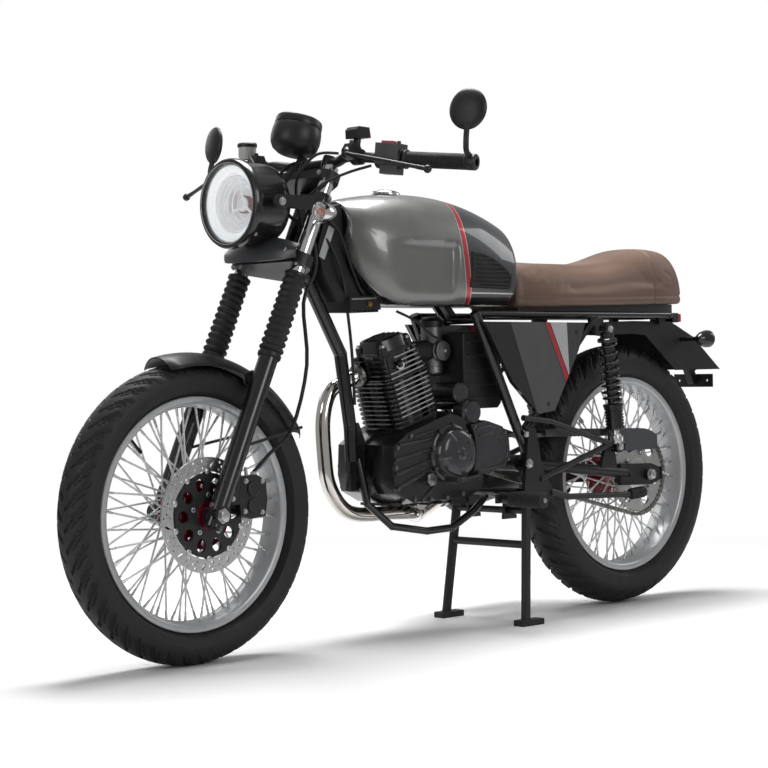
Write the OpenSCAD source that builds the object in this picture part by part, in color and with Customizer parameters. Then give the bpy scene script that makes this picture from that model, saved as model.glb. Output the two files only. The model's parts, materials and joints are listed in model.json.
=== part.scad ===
// Cafe racer motorcycle, standing upright on its centre stand.
// +X forward, +Y to the rider's left, +Z up, origin on the floor at the middle of the machine.
// Inside the modules X is counted from the rear axle and bike() moves it to the origin.

/* [Wheels] */
// Distance between the two axles
wheelbase = 1355; // [1250:5:1500]
// Outer radius of the front tyre
front_tyre_r = 309; // [295:1:325]
// Outer radius of the rear tyre
rear_tyre_r = 321; // [305:1:335]
// Height of the rear tyre over the floor on the centre stand
rear_lift = 3; // [2:1:30]
// Width of the front tyre
front_tyre_w = 96; // [80:1:110]
// Width of the rear tyre
rear_tyre_w = 112; // [95:1:130]
// Outer radius of both rims at the flange
rim_r = 241; // [225:1:250]
// Spokes in each wheel
spoke_count = 72; // [36:4:80]
// Radius of a spoke
spoke_r = 1.6; // [1:0.1:2.2]

/* [Front end] */
// Rake of the steering head from the vertical, in degrees
rake = 24.7; // [20:0.1:30]
// Distance from the steering axis forward to the fork tubes
fork_offset = 45; // [30:1:55]
// Distance from the centre plane to each fork tube
fork_y = 92; // [84:1:105]
// Radius of the chrome fork tubes
fork_tube_r = 16.5; // [14:0.5:20]
// Radius of the lower fork legs
fork_leg_r = 20.5; // [19:0.5:26]
// Height of the middle of the headlamp
lamp_z = 949; // [900:1:990]
// Outer radius of the headlamp rim
lamp_r = 95; // [75:1:105]
// Half width of the handlebar over its ends
bar_half_w = 404; // [340:1:430]
// Radius of the handlebar tube
bar_r = 11; // [10:0.5:14.5]
// Outer radius of the front brake disc
disc_r = 118; // [100:1:130]

/* [Body] */
// Height of the tank's lower edge
tank_base_z = 737; // [720:1:760]
// Height of the top of the tank
tank_top_z = 988; // [930:1:1010]
// Widest half width of the tank
tank_half_w = 124; // [100:1:140]
// Half width of the seat
seat_half_w = 112; // [95:1:125]
// Height of the seat base
seat_base_z = 733; // [725:1:745]
// Thickness of a side panel
panel_t = 12; // [6:1:16]

/* [Frame] */
// Distance from the rear axle forward to the swingarm pivot
swingarm_l = 440; // [430:5:470]
// Radius of the down tube
down_tube_r = 14.5; // [12:0.5:18]
// Radius of the seat rails
rail_r = 8; // [7:0.5:9.5]
// Radius of the frame's side tubes
side_tube_r = 12; // [9:0.5:14]
// Distance from the centre plane to the seat rails
rail_y = 98; // [85:1:106]
// Radius of the exhaust pipe
pipe_r = 16.5; // [14:0.5:19]
// Radius of the silencer
silencer_r = 44; // [38:1:52]

/* [Stand and fits] */
// Distance from the centre plane to each leg of the centre stand
stand_y = 112; // [104:1:124]
// Radius of the tubes of the centre stand
stand_r = 11; // [8:0.5:13]
// Radius of the threaded holes for the paddock stand bobbins
bobbin_r = 4; // [3:0.5:5]
// Radius of the mirror threads in the two lever perches
mirror_thread_r = 5; // [4:0.5:5]
// Distance between the two number plate bolts
plate_pitch = 90; // [60:1:100]
// Radial running clearance of a shaft in its bore
run_fit = 0.08; // [0.02:0.01:0.1]

/* [Hidden] */

front_z = front_tyre_r;
rear_z = rear_tyre_r + rear_lift;
front_x = wheelbase;
tail_x = -352;
bike_mid_x = (front_x + front_tyre_r + tail_x) / 2;

// Steering: unit vector up the steering axis, and points on the axis and on the fork line
up = [-sin(rake), 0, cos(rake)];
ahead = [cos(rake), 0, sin(rake)];
axle = [front_x, 0, front_z];
function on_fork(s) = axle + s * up;
function on_head(s) = axle - fork_offset * ahead + s * up;
function at_side(p, y) = [p[0], y, p[2]];
head_s0 = 596;
head_s1 = 752;
lower_clamp_s = 570;
upper_clamp_s = 766;
fork_top_s = 790;
gaiter_s0 = 350;
gaiter_s1 = 536;
lamp_x = on_fork((lamp_z - front_z) / cos(rake))[0] + 136;

// Frame stations
pivot_x = swingarm_l;
pivot_z = 372;
rail_z = 718;
stem_r = 17;
stem_gap = 0.3;
seat_tube_y = rail_y + 6;
plate_y = seat_tube_y + side_tube_r + 0.5;
axle_r = 7.5;
pivot_bolt_r = 8;
stand_pivot_x = pivot_x + 12;
stand_pivot_z = 262;
arm_y = 98;
chain_y = 74;
sprocket_r = 94;
front_sprocket_r = 34;
front_sprocket_x = 560;
front_sprocket_z = 400;
hub_bore_r = axle_r + run_fit;

// Cylinder base plane: u runs forward along it, v up the bore
lean = 17;
function on_bore(u, v, y = 0) = [742 + u * cos(lean) + v * sin(lean), y,
    478 - u * sin(lean) + v * cos(lean)];
module along_bore() translate(on_bore(0, 0)) rotate([0, lean, 0]) children();

// Tank and seat stations
tank_rear_x = 446;
tank_front_x = 946;
tunnel_bend_x = 848;
slot_rise = 95;
seat_front_x = 440;
seat_rear_x = -212;

// ---------- helpers ----------

module bike() translate([-bike_mid_x, 0, 0]) children();

module both() {
    children();
    mirror([0, 1, 0]) children();
}

// Straight round bar between two points
module rod(a, b, r) {
    d = b - a;
    l = norm(d);
    translate(a)
        rotate([0, acos(d[2] / l), atan2(d[1], d[0])])
            cylinder(h = l, r = r, $fn = 48);
}

// Bent bar: straight stretches with a ball a little proud of them at each bend
module bent_rod(points, r) {
    for (i = [0 : len(points) - 2]) rod(points[i], points[i + 1], r);
    for (i = [1 : 1 : len(points) - 2]) {
        d = points[i + 1] - points[i - 1];
        translate(points[i])
            rotate([0, acos(d[2] / norm(d)), atan2(d[1], d[0])])
                sphere(r = r + 0.4, $fn = 48);
    }
}

// Disc or ring about the Y axis
module wheel_ring(x, z, y0, y1, r, bore = 0) {
    translate([x, y1, z]) rotate([90, 0, 0]) difference() {
        cylinder(h = y1 - y0, r = r, $fn = 96);
        if (bore > 0) translate([0, 0, -1]) cylinder(h = y1 - y0 + 2, r = bore, $fn = 96);
    }
}

// Plate in the XZ plane between y0 and y1
module side_plate(y0, y1, points) {
    translate([0, y1, 0]) rotate([90, 0, 0]) linear_extrude(height = y1 - y0) polygon(points);
}

// Closed skin over a list of rings that all hold the same number of points
module loft(rings) {
    m = len(rings[0]);
    n = len(rings);
    points = [for (r = rings) for (p = r) p];
    sides = [for (i = [0 : n - 2]) for (j = [0 : m - 1]) each [
        [i * m + j, i * m + (j + 1) % m, (i + 1) * m + j],
        [i * m + (j + 1) % m, (i + 1) * m + (j + 1) % m, (i + 1) * m + j]
    ]];
    caps = [[for (j = [m - 1 : -1 : 0]) j], [for (j = [0 : m - 1]) (n - 1) * m + j]];
    polyhedron(points = points, faces = concat(sides, caps), convexity = 6);
}

// Smooth tube along a few route points
function smooth(p, i, t) =
    let (
        a = p[max(i - 1, 0)], b = p[i], c = p[i + 1], d = p[min(i + 2, len(p) - 1)]
    ) 0.5 * (2 * b + (c - a) * t + (2 * a - 5 * b + 4 * c - d) * t * t
        + (3 * b - 3 * c + d - a) * t * t * t);
function route(p, steps) = concat(
    [for (i = [0 : len(p) - 2]) for (k = [0 : steps - 1]) smooth(p, i, k / steps)],
    [p[len(p) - 1]]);
function unit(v) = v / norm(v);
function tube_ring(q, i, r, sides, side) =
    let (
        t = unit(q[min(i + 1, len(q) - 1)] - q[max(i - 1, 0)]),
        u = unit(cross(side, t)),
        v = cross(t, u)
    ) [for (k = [0 : sides - 1]) q[i] + r * (cos(360 * k / sides) * u + sin(360 * k / sides) * v)];
module tube(points, r, steps = 4, sides = 12, side = [0, 1, 0]) {
    q = route(points, steps);
    loft([for (i = [0 : len(q) - 1]) tube_ring(q, i, r, sides, side)]);
}

// ---------- frame ----------

module main_frame() color("#1b1b1d") bike() {
    knee = [848, 0, 782];
    bend = [1000, 0, 762];
    difference() {
        union() {
            rod(on_head(head_s0), on_head(head_s1), 26);
            rod(on_head(head_s1 - 45), knee, 19);
            rod(on_head(head_s0 + 25), bend, down_tube_r);
        }
        rod(on_head(head_s0 - 5), on_head(head_s1 + 5), stem_r + stem_gap);
    }
    translate(knee) sphere(r = 19.4, $fn = 48);
    bent_rod([knee, [640, 0, 774], [578, 0, 706]], 19);
    translate(bend) sphere(r = down_tube_r + 0.4, $fn = 48);
    bent_rod([bend, [924, 0, 632], [899, 0, 470], [896, 0, 395]], down_tube_r);
    bent_rod([[884, 6, 400], [872, 22, 300], [800, 24, 246], [690, 24, 228],
        [610, 24, 230], [540, 24, 262], [490, 20, 296]], 8.5);
    rod([588, -rail_y, 706], [588, rail_y, 706], 10);
    rod([462, -rail_y, 304], [462, rail_y, 304], 11);
    rod([pivot_x, -seat_tube_y, pivot_z], [pivot_x, seat_tube_y, pivot_z], pivot_bolt_r);
    both() {
        bent_rod([[598, rail_y, rail_z + 4], [478, seat_tube_y, 470], [pivot_x, seat_tube_y, 400],
            [pivot_x - 2, seat_tube_y, 290]], side_tube_r);
        bent_rod([[590, rail_y - 4, rail_z], [-120, rail_y - 8, rail_z], [-178, 40, rail_z]], rail_r);
        rod([446, seat_tube_y - 2, 452], [170, rail_y - 5, rail_z - 3], 7);
        rod([462, rail_y - 2, 304], [pivot_x - 2, seat_tube_y, 304], 9);
        side_plate(rail_y - 12, rail_y - 2, [[150, 668], [186, 668], [194, rail_z], [142, rail_z]]);
    }
    rod([-178, -41, rail_z], [-178, 41, rail_z], rail_r - 0.4);
    for (x = [660, 740]) rod([x, 0, 780], [x, 0, tunnel_z - 0.3], 12);
    side_plate(-8, 8, [[908, 330], [908, 480], [880, 480], [862.4, 440], [862.4, 380], [884, 330]]);
    stand_lugs();
}

// Two ears under the frame that carry the pivot of the centre stand
module stand_lugs() both() difference() {
    side_plate(54, 62, [[stand_pivot_x - 22, stand_pivot_z - 20], [stand_pivot_x + 22, stand_pivot_z - 20],
        [stand_pivot_x + 16, 300], [stand_pivot_x - 16, 300]]);
    wheel_ring(stand_pivot_x, stand_pivot_z, 50, 66, stand_r - 3 + run_fit);
}

module engine_case() color("#232427") bike() {
    front_top = on_bore(74, -0.3);
    rear_top = on_bore(-74, -0.3);
    difference() {
        side_plate(-92, 92, [[852, 322], [862, 360], [858, 430], [front_top[0], front_top[2]],
            [rear_top[0], rear_top[2]], [600, 486], [552, 466], [505, 440], [500, 372], [530, 322],
            [600, 296], [800, 296]]);
        wheel_ring(front_sprocket_x, front_sprocket_z, 60, 93, front_sprocket_r + 18);
        side_plate(60, 93, [[front_sprocket_x, 453], [470, 470], [470, 322], [front_sprocket_x, 346]]);
    }
    wheel_ring(front_sprocket_x, front_sprocket_z, 59, 68, 16);
    wheel_ring(front_sprocket_x, front_sprocket_z, chain_y - 3, chain_y + 3, front_sprocket_r);
    wheel_ring(front_sprocket_x, front_sprocket_z, 60, chain_y + 8, 12);
    wheel_ring(672, 404, 92, 124, 60);
    wheel_ring(690, 392, -122, -92, 78);
}

module engine_top() color("#1e1f21") bike() along_bore() {
    translate([-72, -66, 0]) cube([144, 132, 112]);
    translate([-66, -62, 111]) cube([134, 124, 58]);
    translate([-50, -52, 168]) cube([98, 104, 40]);
}

module intake() color("#8a8c90") bike() {
    port = on_bore(-66.3, 138);
    throat = on_bore(-112, 138);
    rod(port, throat, 22);
    rod(throat, [612, 0, 636], 29);
    rod([640, 0, 580], [640, 0, 700], 25);
    translate([486, -74, 500]) cube([127, 148, 182]);
}

// ---------- bodywork ----------

// Tank section: flat floor with a tunnel over the frame's top tube, rounded shoulders
tunnel_w = 30;
tunnel_z = 815;
function tank_t(x) = (x - tank_rear_x) / (tank_front_x - tank_rear_x);
function tank_w(t) = tank_half_w * pow(1 - pow(abs(t - 0.6) / (t > 0.6 ? 0.44 : 0.92), 2.6), 0.5);
function tank_top(t) = tank_top_z - 66 * pow(max(0, 0.6 - t) / 0.6, 2.2)
    - 22 * pow(max(0, t - 0.6) / 0.4, 2);
function tank_floor(t) = tank_base_z + 170 * (1 - sqrt(1 - pow(0.985 * max(0, t - 0.7) / 0.3, 2)));
function tank_ring(t) =
    let (
        x = tank_rear_x + t * (tank_front_x - tank_rear_x),
        w = tank_w(t), top = tank_top(t), low = tank_floor(t),
        waist = low + 0.42 * (top - low)
    ) [
        for (a = [-64 : 16 : 0]) [x, w * pow(cos(a), 0.45), waist + (waist - low) * sin(a) / sin(64)],
        for (a = [12 : 12 : 84]) [x, w * pow(cos(a), 0.85), waist + (top - waist) * sin(a)],
        [x, 0, top],
        for (a = [84 : -12 : 12]) [x, -w * pow(cos(a), 0.85), waist + (top - waist) * sin(a)],
        for (a = [0 : -16 : -64]) [x, -w * pow(cos(a), 0.45), waist + (waist - low) * sin(a) / sin(64)]
    ];

cap_x = 778;
cap_r = 33;
cap_z = tank_top(tank_t(cap_x)) - 7;

module fuel_tank() color("#77726b") bike() difference() {
    loft([for (k = [0 : 26]) tank_ring(1 - pow(1 - k / 26, 1.4))]);
    side_plate(-tunnel_w, tunnel_w, [[tank_rear_x - 10, tank_base_z - 10],
        [tank_front_x + 10, tank_base_z - 10], [tank_front_x + 10, tunnel_z + slot_rise],
        [tunnel_bend_x, tunnel_z], [tank_rear_x - 10, tunnel_z]]);
    translate([cap_x, 0, cap_z]) cylinder(h = 60, r = cap_r + 0.4, $fn = 64);
}

module tank_cap() color("#c8c9cb") bike()
    translate([cap_x, 0, cap_z + 0.3]) cylinder(h = 20, r = cap_r, $fn = 64);

// Seat: a long cushion that rises to a hump at the tail
function seat_top(x) = 838 + 8 * pow(max(0, x - 330) / 110, 2) + 20 * (1 - cos(min(180, max(0, (200 - x) * 0.6))))
    + 9 * exp(-pow((x + 60) / 90, 2)) - 132 * pow(max(0, -105 - x) / 107, 2.2);
function seat_w(x) = seat_half_w * pow(1 - pow(max(0, -60 - x) / 165, 2.3), 0.5)
    * (1 - 0.24 * pow(max(0, x - 250) / 190, 2));
pan_z = rail_z + rail_r + 0.5;
function seat_low(x) = seat_base_z + 14 * (seat_front_x - x) / (seat_front_x - seat_rear_x);
function seat_ring(x) =
    let (w = seat_w(x), top = seat_top(x), low = seat_low(x), h = top - low) [
        [x, -w + 7, pan_z], [x, w - 7, pan_z],
        for (a = [0 : 15 : 180])
            [x, w * (cos(a) < 0 ? -1 : 1) * pow(abs(cos(a)), 0.5), low + 8 + (h - 8) * pow(sin(a), 0.42)]
    ];

module seat() color("#77614f") bike()
    loft([for (k = [0 : 32]) seat_ring(seat_rear_x + k * (seat_front_x - seat_rear_x) / 32)]);

module side_panels() color("#5d5c5b") bike() both() {
    side_plate(plate_y + 0.4, plate_y + 0.4 + panel_t, [[600, 700], [250, 698], [276, 632], [364, 492],
        [420, 486], [506, 560]]);
    rod([555, rail_y + 2 + side_tube_r, 640], [555, plate_y + 1, 640], 5);
    rod([330, rail_y + 7.6, 562], [330, plate_y + 1, 562], 5);
}

// ---------- exhaust ----------

silencer_in = [426, -196, 278];
silencer_end = [128, -204, 330];
silencer_dir = unit(silencer_end - silencer_in);
pipe_route = [on_bore(69.3, 132, -24), on_bore(86, 132, -25), on_bore(106, 128, -34), [916, -45, 548], [937, -46, 490],
    [937, -44, 410], [928, -42, 345], [890, -42, 292], [838, -42, 272], [740, -44, 270], [660, -58, 264],
    [600, -104, 254], [540, -158, 250], silencer_in - 60 * silencer_dir, silencer_in - 1.8 * silencer_dir];

module exhaust_pipe() color("#d6d2c8") bike() tube(pipe_route, pipe_r, 3, 16);

module silencer() color("#2a2a2c") bike() {
    neck = silencer_in + 70 * silencer_dir;
    rod(silencer_in, neck, pipe_r + 6);
    rod(neck, silencer_end, silencer_r);
    rod(silencer_end, silencer_end + 30 * silencer_dir, 22);
    rod([250, -200, 334], [250, -plate_y - 22, 377], 7);
    side_plate(-plate_y - 19, -plate_y - 14.6, [[238, 368], [262, 362], [264, 390], [240, 396]]);
}

// ---------- rear end ----------

module swingarm() color("#3a3c3f") bike() {
    difference() {
        union() {
            both() {
                rod([pivot_x - 4, 76, pivot_z - 1], [78, arm_y, rear_z + 7], 13);
                side_plate(arm_y - 6, arm_y + 7, [[100, rear_z - 22], [100, rear_z + 30], [-20, rear_z + 26],
                    [-56, rear_z + 14], [-56, rear_z - 14], [-20, rear_z - 26]]);
                side_plate(arm_y - 4, arm_y + 6, [[176, rear_z + 10], [150, rear_z + 86],
                    [122, rear_z + 86], [110, rear_z + 10]]);
            }
            wheel_ring(pivot_x, pivot_z, 8 - seat_tube_y + side_tube_r, seat_tube_y - side_tube_r - 8, 19);
        }
        wheel_ring(pivot_x, pivot_z, -arm_y, arm_y, pivot_bolt_r + 0.3);
        wheel_ring(68, rear_z, arm_y - 6.1, arm_y + 7.1, bobbin_r);
        wheel_ring(68, rear_z, -arm_y - 7.1, 6.1 - arm_y, bobbin_r);
    }
    wheel_ring(0, rear_z, -arm_y - 22, arm_y + 22, axle_r);
    both() wheel_ring(0, rear_z, arm_y + 6, arm_y + 18, 13);
    both() wheel_ring(0, rear_z, 58.5, arm_y - 5, 12);
}

shock_y = arm_y + 26;
module shock_absorbers() color("#191a1b") bike() both() {
    low = [136, shock_y, rear_z + 74];
    high = [168, shock_y, rail_z - 36];
    d = unit(high - low);
    rod(low + [0, -12, 0], low + [0, 12, 0], 14);
    rod(high + [0, -12, 0], high + [0, 12, 0], 14);
    rod(low, low + 52 * d, 15);
    rod(low + 52 * d, low + 110 * d, 25);
    rod(low + 110 * d, high - 22 * d, 24);
    rod(high - 22 * d, high, 17);
    rod(low + [0, -19.7, 0], low + [0, -12, 0], 7);
    rod([high[0], rail_y - 1.7, high[2]], high + [0, -12, 0], 7);
}

module rear_fender() color("#26272a") bike() {
    wall = 3;
    half_w = 70;
    outer = [[330, 640], [300, 676], [200, 698], [0, 704], [-150, 702], [-240, 664], [tail_x, 579],
        [-166, 579], [-48, 668], [0, 672], [200, 668], [284, 644], [316, 616]];
    difference() {
        side_plate(-half_w, half_w, outer);
        side_plate(-half_w + wall, half_w - wall, [[334, 620], [297, 672], [199, 694.6], [0, 700.8],
            [-149, 698.8], [-238, 661], [-340, 584], [-342, 570], [-150, 570], [320, 570]]);
    }
    both() translate([-112, half_w - 1, 696]) cube([24, rail_y - 8 - rail_r - half_w + 0.7, 26]);
}

module tail_lamp() color("#8c1d1d") bike() {
    translate([-200, -14, rail_z - 10]) cube([13.7, 28, 17]);
    translate([-236, -38, rail_z - 18]) cube([37, 76, 26]);
}

module rear_indicators() color("#c96a1c") bike() both() {
    rod([-206, 70.3, 660], [-206, 118, 658], 6);
    rod([-180, 130, 657], [-232, 130, 657], 22);
}

module plate_bracket() color("#1f2022") bike() {
    difference() {
        translate([-332, -62, 533]) cube([4, 124, 34]);
        for (y = [-plate_pitch / 2, plate_pitch / 2])
            rod([-340, y, 550], [-320, y, 550], 3.25);
    }
    side_plate(-10, 10, [[-328.1, 541], [-328.1, 566], [-318, 586], [-306, 590], [-296, 584], [-318, 541]]);
    side_plate(-10, 10, [[-331, 578], [-331, 590.4], [-296, 616.8], [-284, 590], [-310, 570]]);
}

peg_z = 296;
module peg_hangers() color("#2f3133") bike() both() {
    side_plate(plate_y + 0.3, plate_y + 9, [[pivot_x + 122, peg_z - 10], [pivot_x + 122, peg_z + 10],
        [pivot_x + 30, peg_z + 14], [pivot_x + 14, 452], [pivot_x - 12, 452], [pivot_x - 32, 360],
        [pivot_x - 66, 312], [pivot_x - 66, peg_z - 10]]);
    bent_rod([[pivot_x + 30, plate_y + 7.3, 478], [376, plate_y + 7.3, 467], [160, plate_y + 7.3, 406],
        [pivot_x - 24, plate_y + 7.3, 334]], 7);
    bent_rod([[pivot_x - 60, plate_y + 7.3, 300], [320, plate_y + 7.3, 288], [92, plate_y + 7.3, 280]], 7);
}

module footpegs() color("#202124") bike() both() {
    rod([pivot_x + 106, plate_y + 9.3, peg_z], [pivot_x + 106, plate_y + 32, peg_z], 10);
    rod([pivot_x + 106, plate_y + 32, peg_z], [pivot_x + 100, plate_y + 132, peg_z], 18);
    rod([90.6, plate_y + 7.3, 280], [36, plate_y + 7.3, 284], 14);
}

// ---------- drive ----------

chain_t = 11;
module chain_outline(grow) {
    hull() {
        translate([0, rear_z]) circle(r = sprocket_r + grow, $fn = 120);
        translate([front_sprocket_x, front_sprocket_z]) circle(r = front_sprocket_r + grow, $fn = 64);
    }
}

module drive_chain() color("#8d8d88") bike()
    translate([0, chain_y + 6, 0]) rotate([90, 0, 0]) linear_extrude(height = 12) difference() {
        chain_outline(chain_t);
        chain_outline(0.5);
    }

guard_gap = 6;
module guard_band(outer, inner, x0, x1, z0) intersection() {
    difference() {
        chain_outline(outer);
        chain_outline(inner);
    }
    translate([x0, z0]) square([x1 - x0, 300]);
}
module chain_guard() color("#55585c") bike() {
    crown = chain_t + guard_gap + 2.5;
    translate([0, chain_y + 14, 0]) rotate([90, 0, 0]) linear_extrude(height = 26)
        guard_band(crown, chain_t + guard_gap, -64, 352, 384);
    translate([0, chain_y + 14, 0]) rotate([90, 0, 0]) linear_extrude(height = 2.5) {
        guard_band(crown, 2, 40, 352, 384);
        guard_band(crown, -60, -64, 60, 384);
    }
    rod([134, chain_y + 12.5, 434], [134, arm_y + 4, 434], 5);
    rod([134, arm_y + 0.5, 410.4], [134, arm_y + 0.5, 441], 4);
}

// ---------- front end ----------

module steering_clamps() color("#17181a") bike() {
    for (s = [lower_clamp_s, upper_clamp_s]) {
        thick = s == lower_clamp_s ? 26 : 20;
        difference() {
            translate(on_head(s)) rotate([0, -rake, 0]) hull() {
                cylinder(h = thick, r = 24, center = true, $fn = 32);
                for (y = [-fork_y, fork_y])
                    translate([fork_offset, y, 0]) cylinder(h = thick, r = fork_tube_r + 9, center = true, $fn = 32);
            }
            for (y = [-fork_y, fork_y])
                rod(at_side(on_fork(s - 40), y), at_side(on_fork(s + 40), y), fork_tube_r + run_fit);
        }
    }
    rod(on_head(lower_clamp_s), on_head(upper_clamp_s + 12), stem_r);
}

module fork_tubes() color("#d9dadc") bike() both()
    rod(at_side(on_fork(gaiter_s0 - 60), fork_y), at_side(on_fork(fork_top_s), fork_y), fork_tube_r);

module fork_gaiters() color("#1c1d1f") bike() both() difference() {
    union() {
        for (k = [0 : 10]) {
            s = gaiter_s0 + k * (gaiter_s1 - gaiter_s0) / 11;
            rod(at_side(on_fork(s), fork_y), at_side(on_fork(s + 9), fork_y), 25);
        }
        rod(at_side(on_fork(gaiter_s0), fork_y), at_side(on_fork(gaiter_s1), fork_y), 22);
    }
    rod(at_side(on_fork(gaiter_s0 - 1), fork_y), at_side(on_fork(gaiter_s1 + 1), fork_y),
        fork_tube_r + 0.3);
}

module fork_legs() color("#1a1b1d") bike() {
    both() difference() {
        union() {
            rod(at_side(on_fork(-26), fork_y), at_side(on_fork(gaiter_s0 - 0.3), fork_y), fork_leg_r);
            wheel_ring(front_x, front_z, fork_y - 24, fork_y + 22, 20);
        }
        rod(at_side(on_fork(gaiter_s0 - 60.3), fork_y), at_side(on_fork(gaiter_s0 + 1), fork_y),
            fork_tube_r + run_fit);
    }
    wheel_ring(front_x, front_z, -fork_y, fork_y, axle_r);
}

module front_fender() color("#202124") bike() {
    inner = front_tyre_r + 18;
    half_w = 56;
    difference() {
        translate([front_x, 0, front_z]) rotate([90, 0, 0]) rotate([0, 0, 76])
            rotate_extrude(angle = 76, $fn = 120)
                difference() {
                    translate([inner - 26, -half_w]) square([30, 2 * half_w]);
                    translate([inner - 30, -half_w + 4]) square([30, 2 * half_w - 8]);
                }
    }
    both() {
        arch = on_fork(300);
        side_plate(half_w - 2, fork_y - fork_leg_r - 0.3, [[arch[0] - 18, arch[2] - 14], [arch[0] + 18, arch[2] - 14],
            [arch[0] + 10, arch[2] + 18], [arch[0] - 10, arch[2] + 18]]);
    }
}

module headlamp() color("#202123") bike() {
    rod([lamp_x + 28, 0, lamp_z], [lamp_x - 84, 0, lamp_z], lamp_r - 7);
    rod([lamp_x + 40, 0, lamp_z], [lamp_x + 24, 0, lamp_z], lamp_r);
    ear_s = (lamp_z - front_z) / cos(rake) - 6;
    both() {
        difference() {
            union() {
                rod(at_side(on_fork(ear_s - 24), fork_y), at_side(on_fork(ear_s + 24), fork_y),
                    fork_tube_r + 5);
                side_plate(fork_y + 11, fork_y + 15, [[lamp_x - 10, lamp_z - 12],
                    [lamp_x - 10, lamp_z + 12], [lamp_x - 134, lamp_z + 14], [lamp_x - 134, lamp_z - 14]]);
            }
            rod(at_side(on_fork(ear_s - 40), fork_y), at_side(on_fork(ear_s + 40), fork_y),
                fork_tube_r + 0.3);
        }
        rod([lamp_x - 20, lamp_r - 10, lamp_z], [lamp_x - 20, fork_y + 16, lamp_z], 9);
    }
}

gauge_low = on_head(upper_clamp_s + 43.3) + 86 * ahead;
gauge_tilt = 18;
gauge_up = [-sin(gauge_tilt), 0, cos(gauge_tilt)];
module speedometer() color("#17181a") bike() {
    rod(gauge_low, gauge_low + 62 * gauge_up, 54);
    rod(gauge_low + 62 * gauge_up, gauge_low + 80 * gauge_up, 50);
    rod(on_head(upper_clamp_s + 10.3) + 58 * ahead, on_head(upper_clamp_s + 54) + 58 * ahead, 9);
}

riser_h = 44;
riser_ahead = 15;
bar_mid = on_head(upper_clamp_s + 10 + riser_h) + riser_ahead * ahead;
bar_points = [bar_mid, bar_mid + [0, 66, 0], bar_mid + [22, 120, 8], bar_mid + [17, 190, 0],
    bar_mid + [-60, bar_half_w, -23]];
module handlebar() color("#1b1c1e") bike() {
    left = [for (k = [1 : 4]) bar_points[k]];
    bent_rod(concat([for (k = [3 : -1 : 0]) at_side(left[k], -left[k][1])], left), bar_r);
    foot = on_head(upper_clamp_s + 10.3) + riser_ahead * ahead;
    for (y = [-40, 40]) rod(at_side(foot, y), at_side(bar_mid + 14.6 * up, y), 13);
}

grip_start = bar_points[3];
grip_end = bar_points[4];
function on_bar(t) = grip_start + t * (grip_end - grip_start);
function on_bend(t) = bar_points[2] + t * (grip_start - bar_points[2]);
module grips() color("#121314") bike() both() difference() {
    rod(on_bar(0.36), on_bar(0.985), bar_r + 6);
    rod(on_bar(0.34), on_bar(1.02), bar_r + run_fit);
}

module controls() color("#17181a") bike() both() {
    perch = on_bend(0.5) + [14, 0, 4];
    difference() {
        rod(on_bar(0.075), on_bar(0.34), bar_r + 11);
        rod(on_bar(0), on_bar(0.42), bar_r + run_fit);
    }
    difference() {
        union() {
            translate(perch + [-14, -14, -12]) cube([36, 26, 36]);
            bent_rod([perch + [16, 8, 2], perch + [46, 34, -4], perch + [16, 236, -50]], 5.5);
            translate(perch + [16, 236, -50]) sphere(r = 9, $fn = 48);
        }
        rod(on_bend(0.1), on_bend(0.9), bar_r + run_fit);
        translate(on_bend(0.5) + [18, 0, 16]) cylinder(h = 20, r = mirror_thread_r, $fn = 48);
    }
}

module mirrors() color("#151617") bike() both() {
    difference() {
        rod(on_bar(0.987), on_bar(1.07), bar_r + 6);
        rod(on_bar(0.9), on_bar(1.03), bar_r + run_fit);
    }
    bent_rod([on_bar(1.06) , grip_end + [20, 10, 34], grip_end + [14, 8, 74]], 6);
    translate(grip_end + [14, 8, 108]) rotate([0, 84, 15]) cylinder(h = 16, r = 43, center = true, $fn = 64);
}

module front_indicators() color("#b9b9b9") bike() both() {
    ind_s = (927 - front_z) / cos(rake) - 18;
    root = at_side(on_fork(ind_s), fork_y);
    rod(root + [0, fork_tube_r + 0.3, 0], root + [0, 72, 0], 7);
    rod(root + [0, 68, 14], root + [53, 68, 16], 21);
}

// ---------- front brake ----------

disc_y = 62;
disc_t = 5;
module brake_disc() color("#b9babc") bike()
    wheel_ring(front_x, front_z, disc_y - disc_t / 2, disc_y + disc_t / 2, disc_r, 30);

module brake_caliper() color("#1a1b1c") bike() {
    lug = front_x - disc_r + 43;
    difference() {
        union() {
            translate([front_x - disc_r - 24, disc_y - 24, front_z - 14]) cube([74, 46, 92]);
            side_plate(disc_y + 12, disc_y + 22, [[lug, front_z + 17], [lug, front_z + 76],
                [front_x - 33, front_z + 71], [front_x - 17, front_z + 31], [front_x - 17, front_z + 17]]);
        }
        wheel_ring(front_x, front_z, disc_y - disc_t / 2 - 5, disc_y + disc_t / 2 + 5, disc_r + 6);
        rod(at_side(on_fork(-40), fork_y), at_side(on_fork(gaiter_s0), fork_y), fork_leg_r + 0.3);
    }
}

module brake_hose() color("#151515") bike() {
    lamp_back = [lamp_x - 108, 0, lamp_z];
    tube([[front_x - disc_r - 6, disc_y, front_z + 81], [front_x - 160, disc_y + 14, front_z + 120],
        [front_x - 206, fork_y, front_z + 168], [front_x - 240, fork_y + 12, front_z + 300],
        [front_x - 234, fork_y + 12, front_z + 430], [front_x - 276, fork_y + 4, front_z + 500],
        lamp_back + [-24, 70, -70], lamp_back + [0, 10, -10], lamp_back + [-10, -70, 50],
        bar_points[3] + [44, -410, 4]], 4, 4, 8);
}

// ---------- wheels ----------

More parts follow.
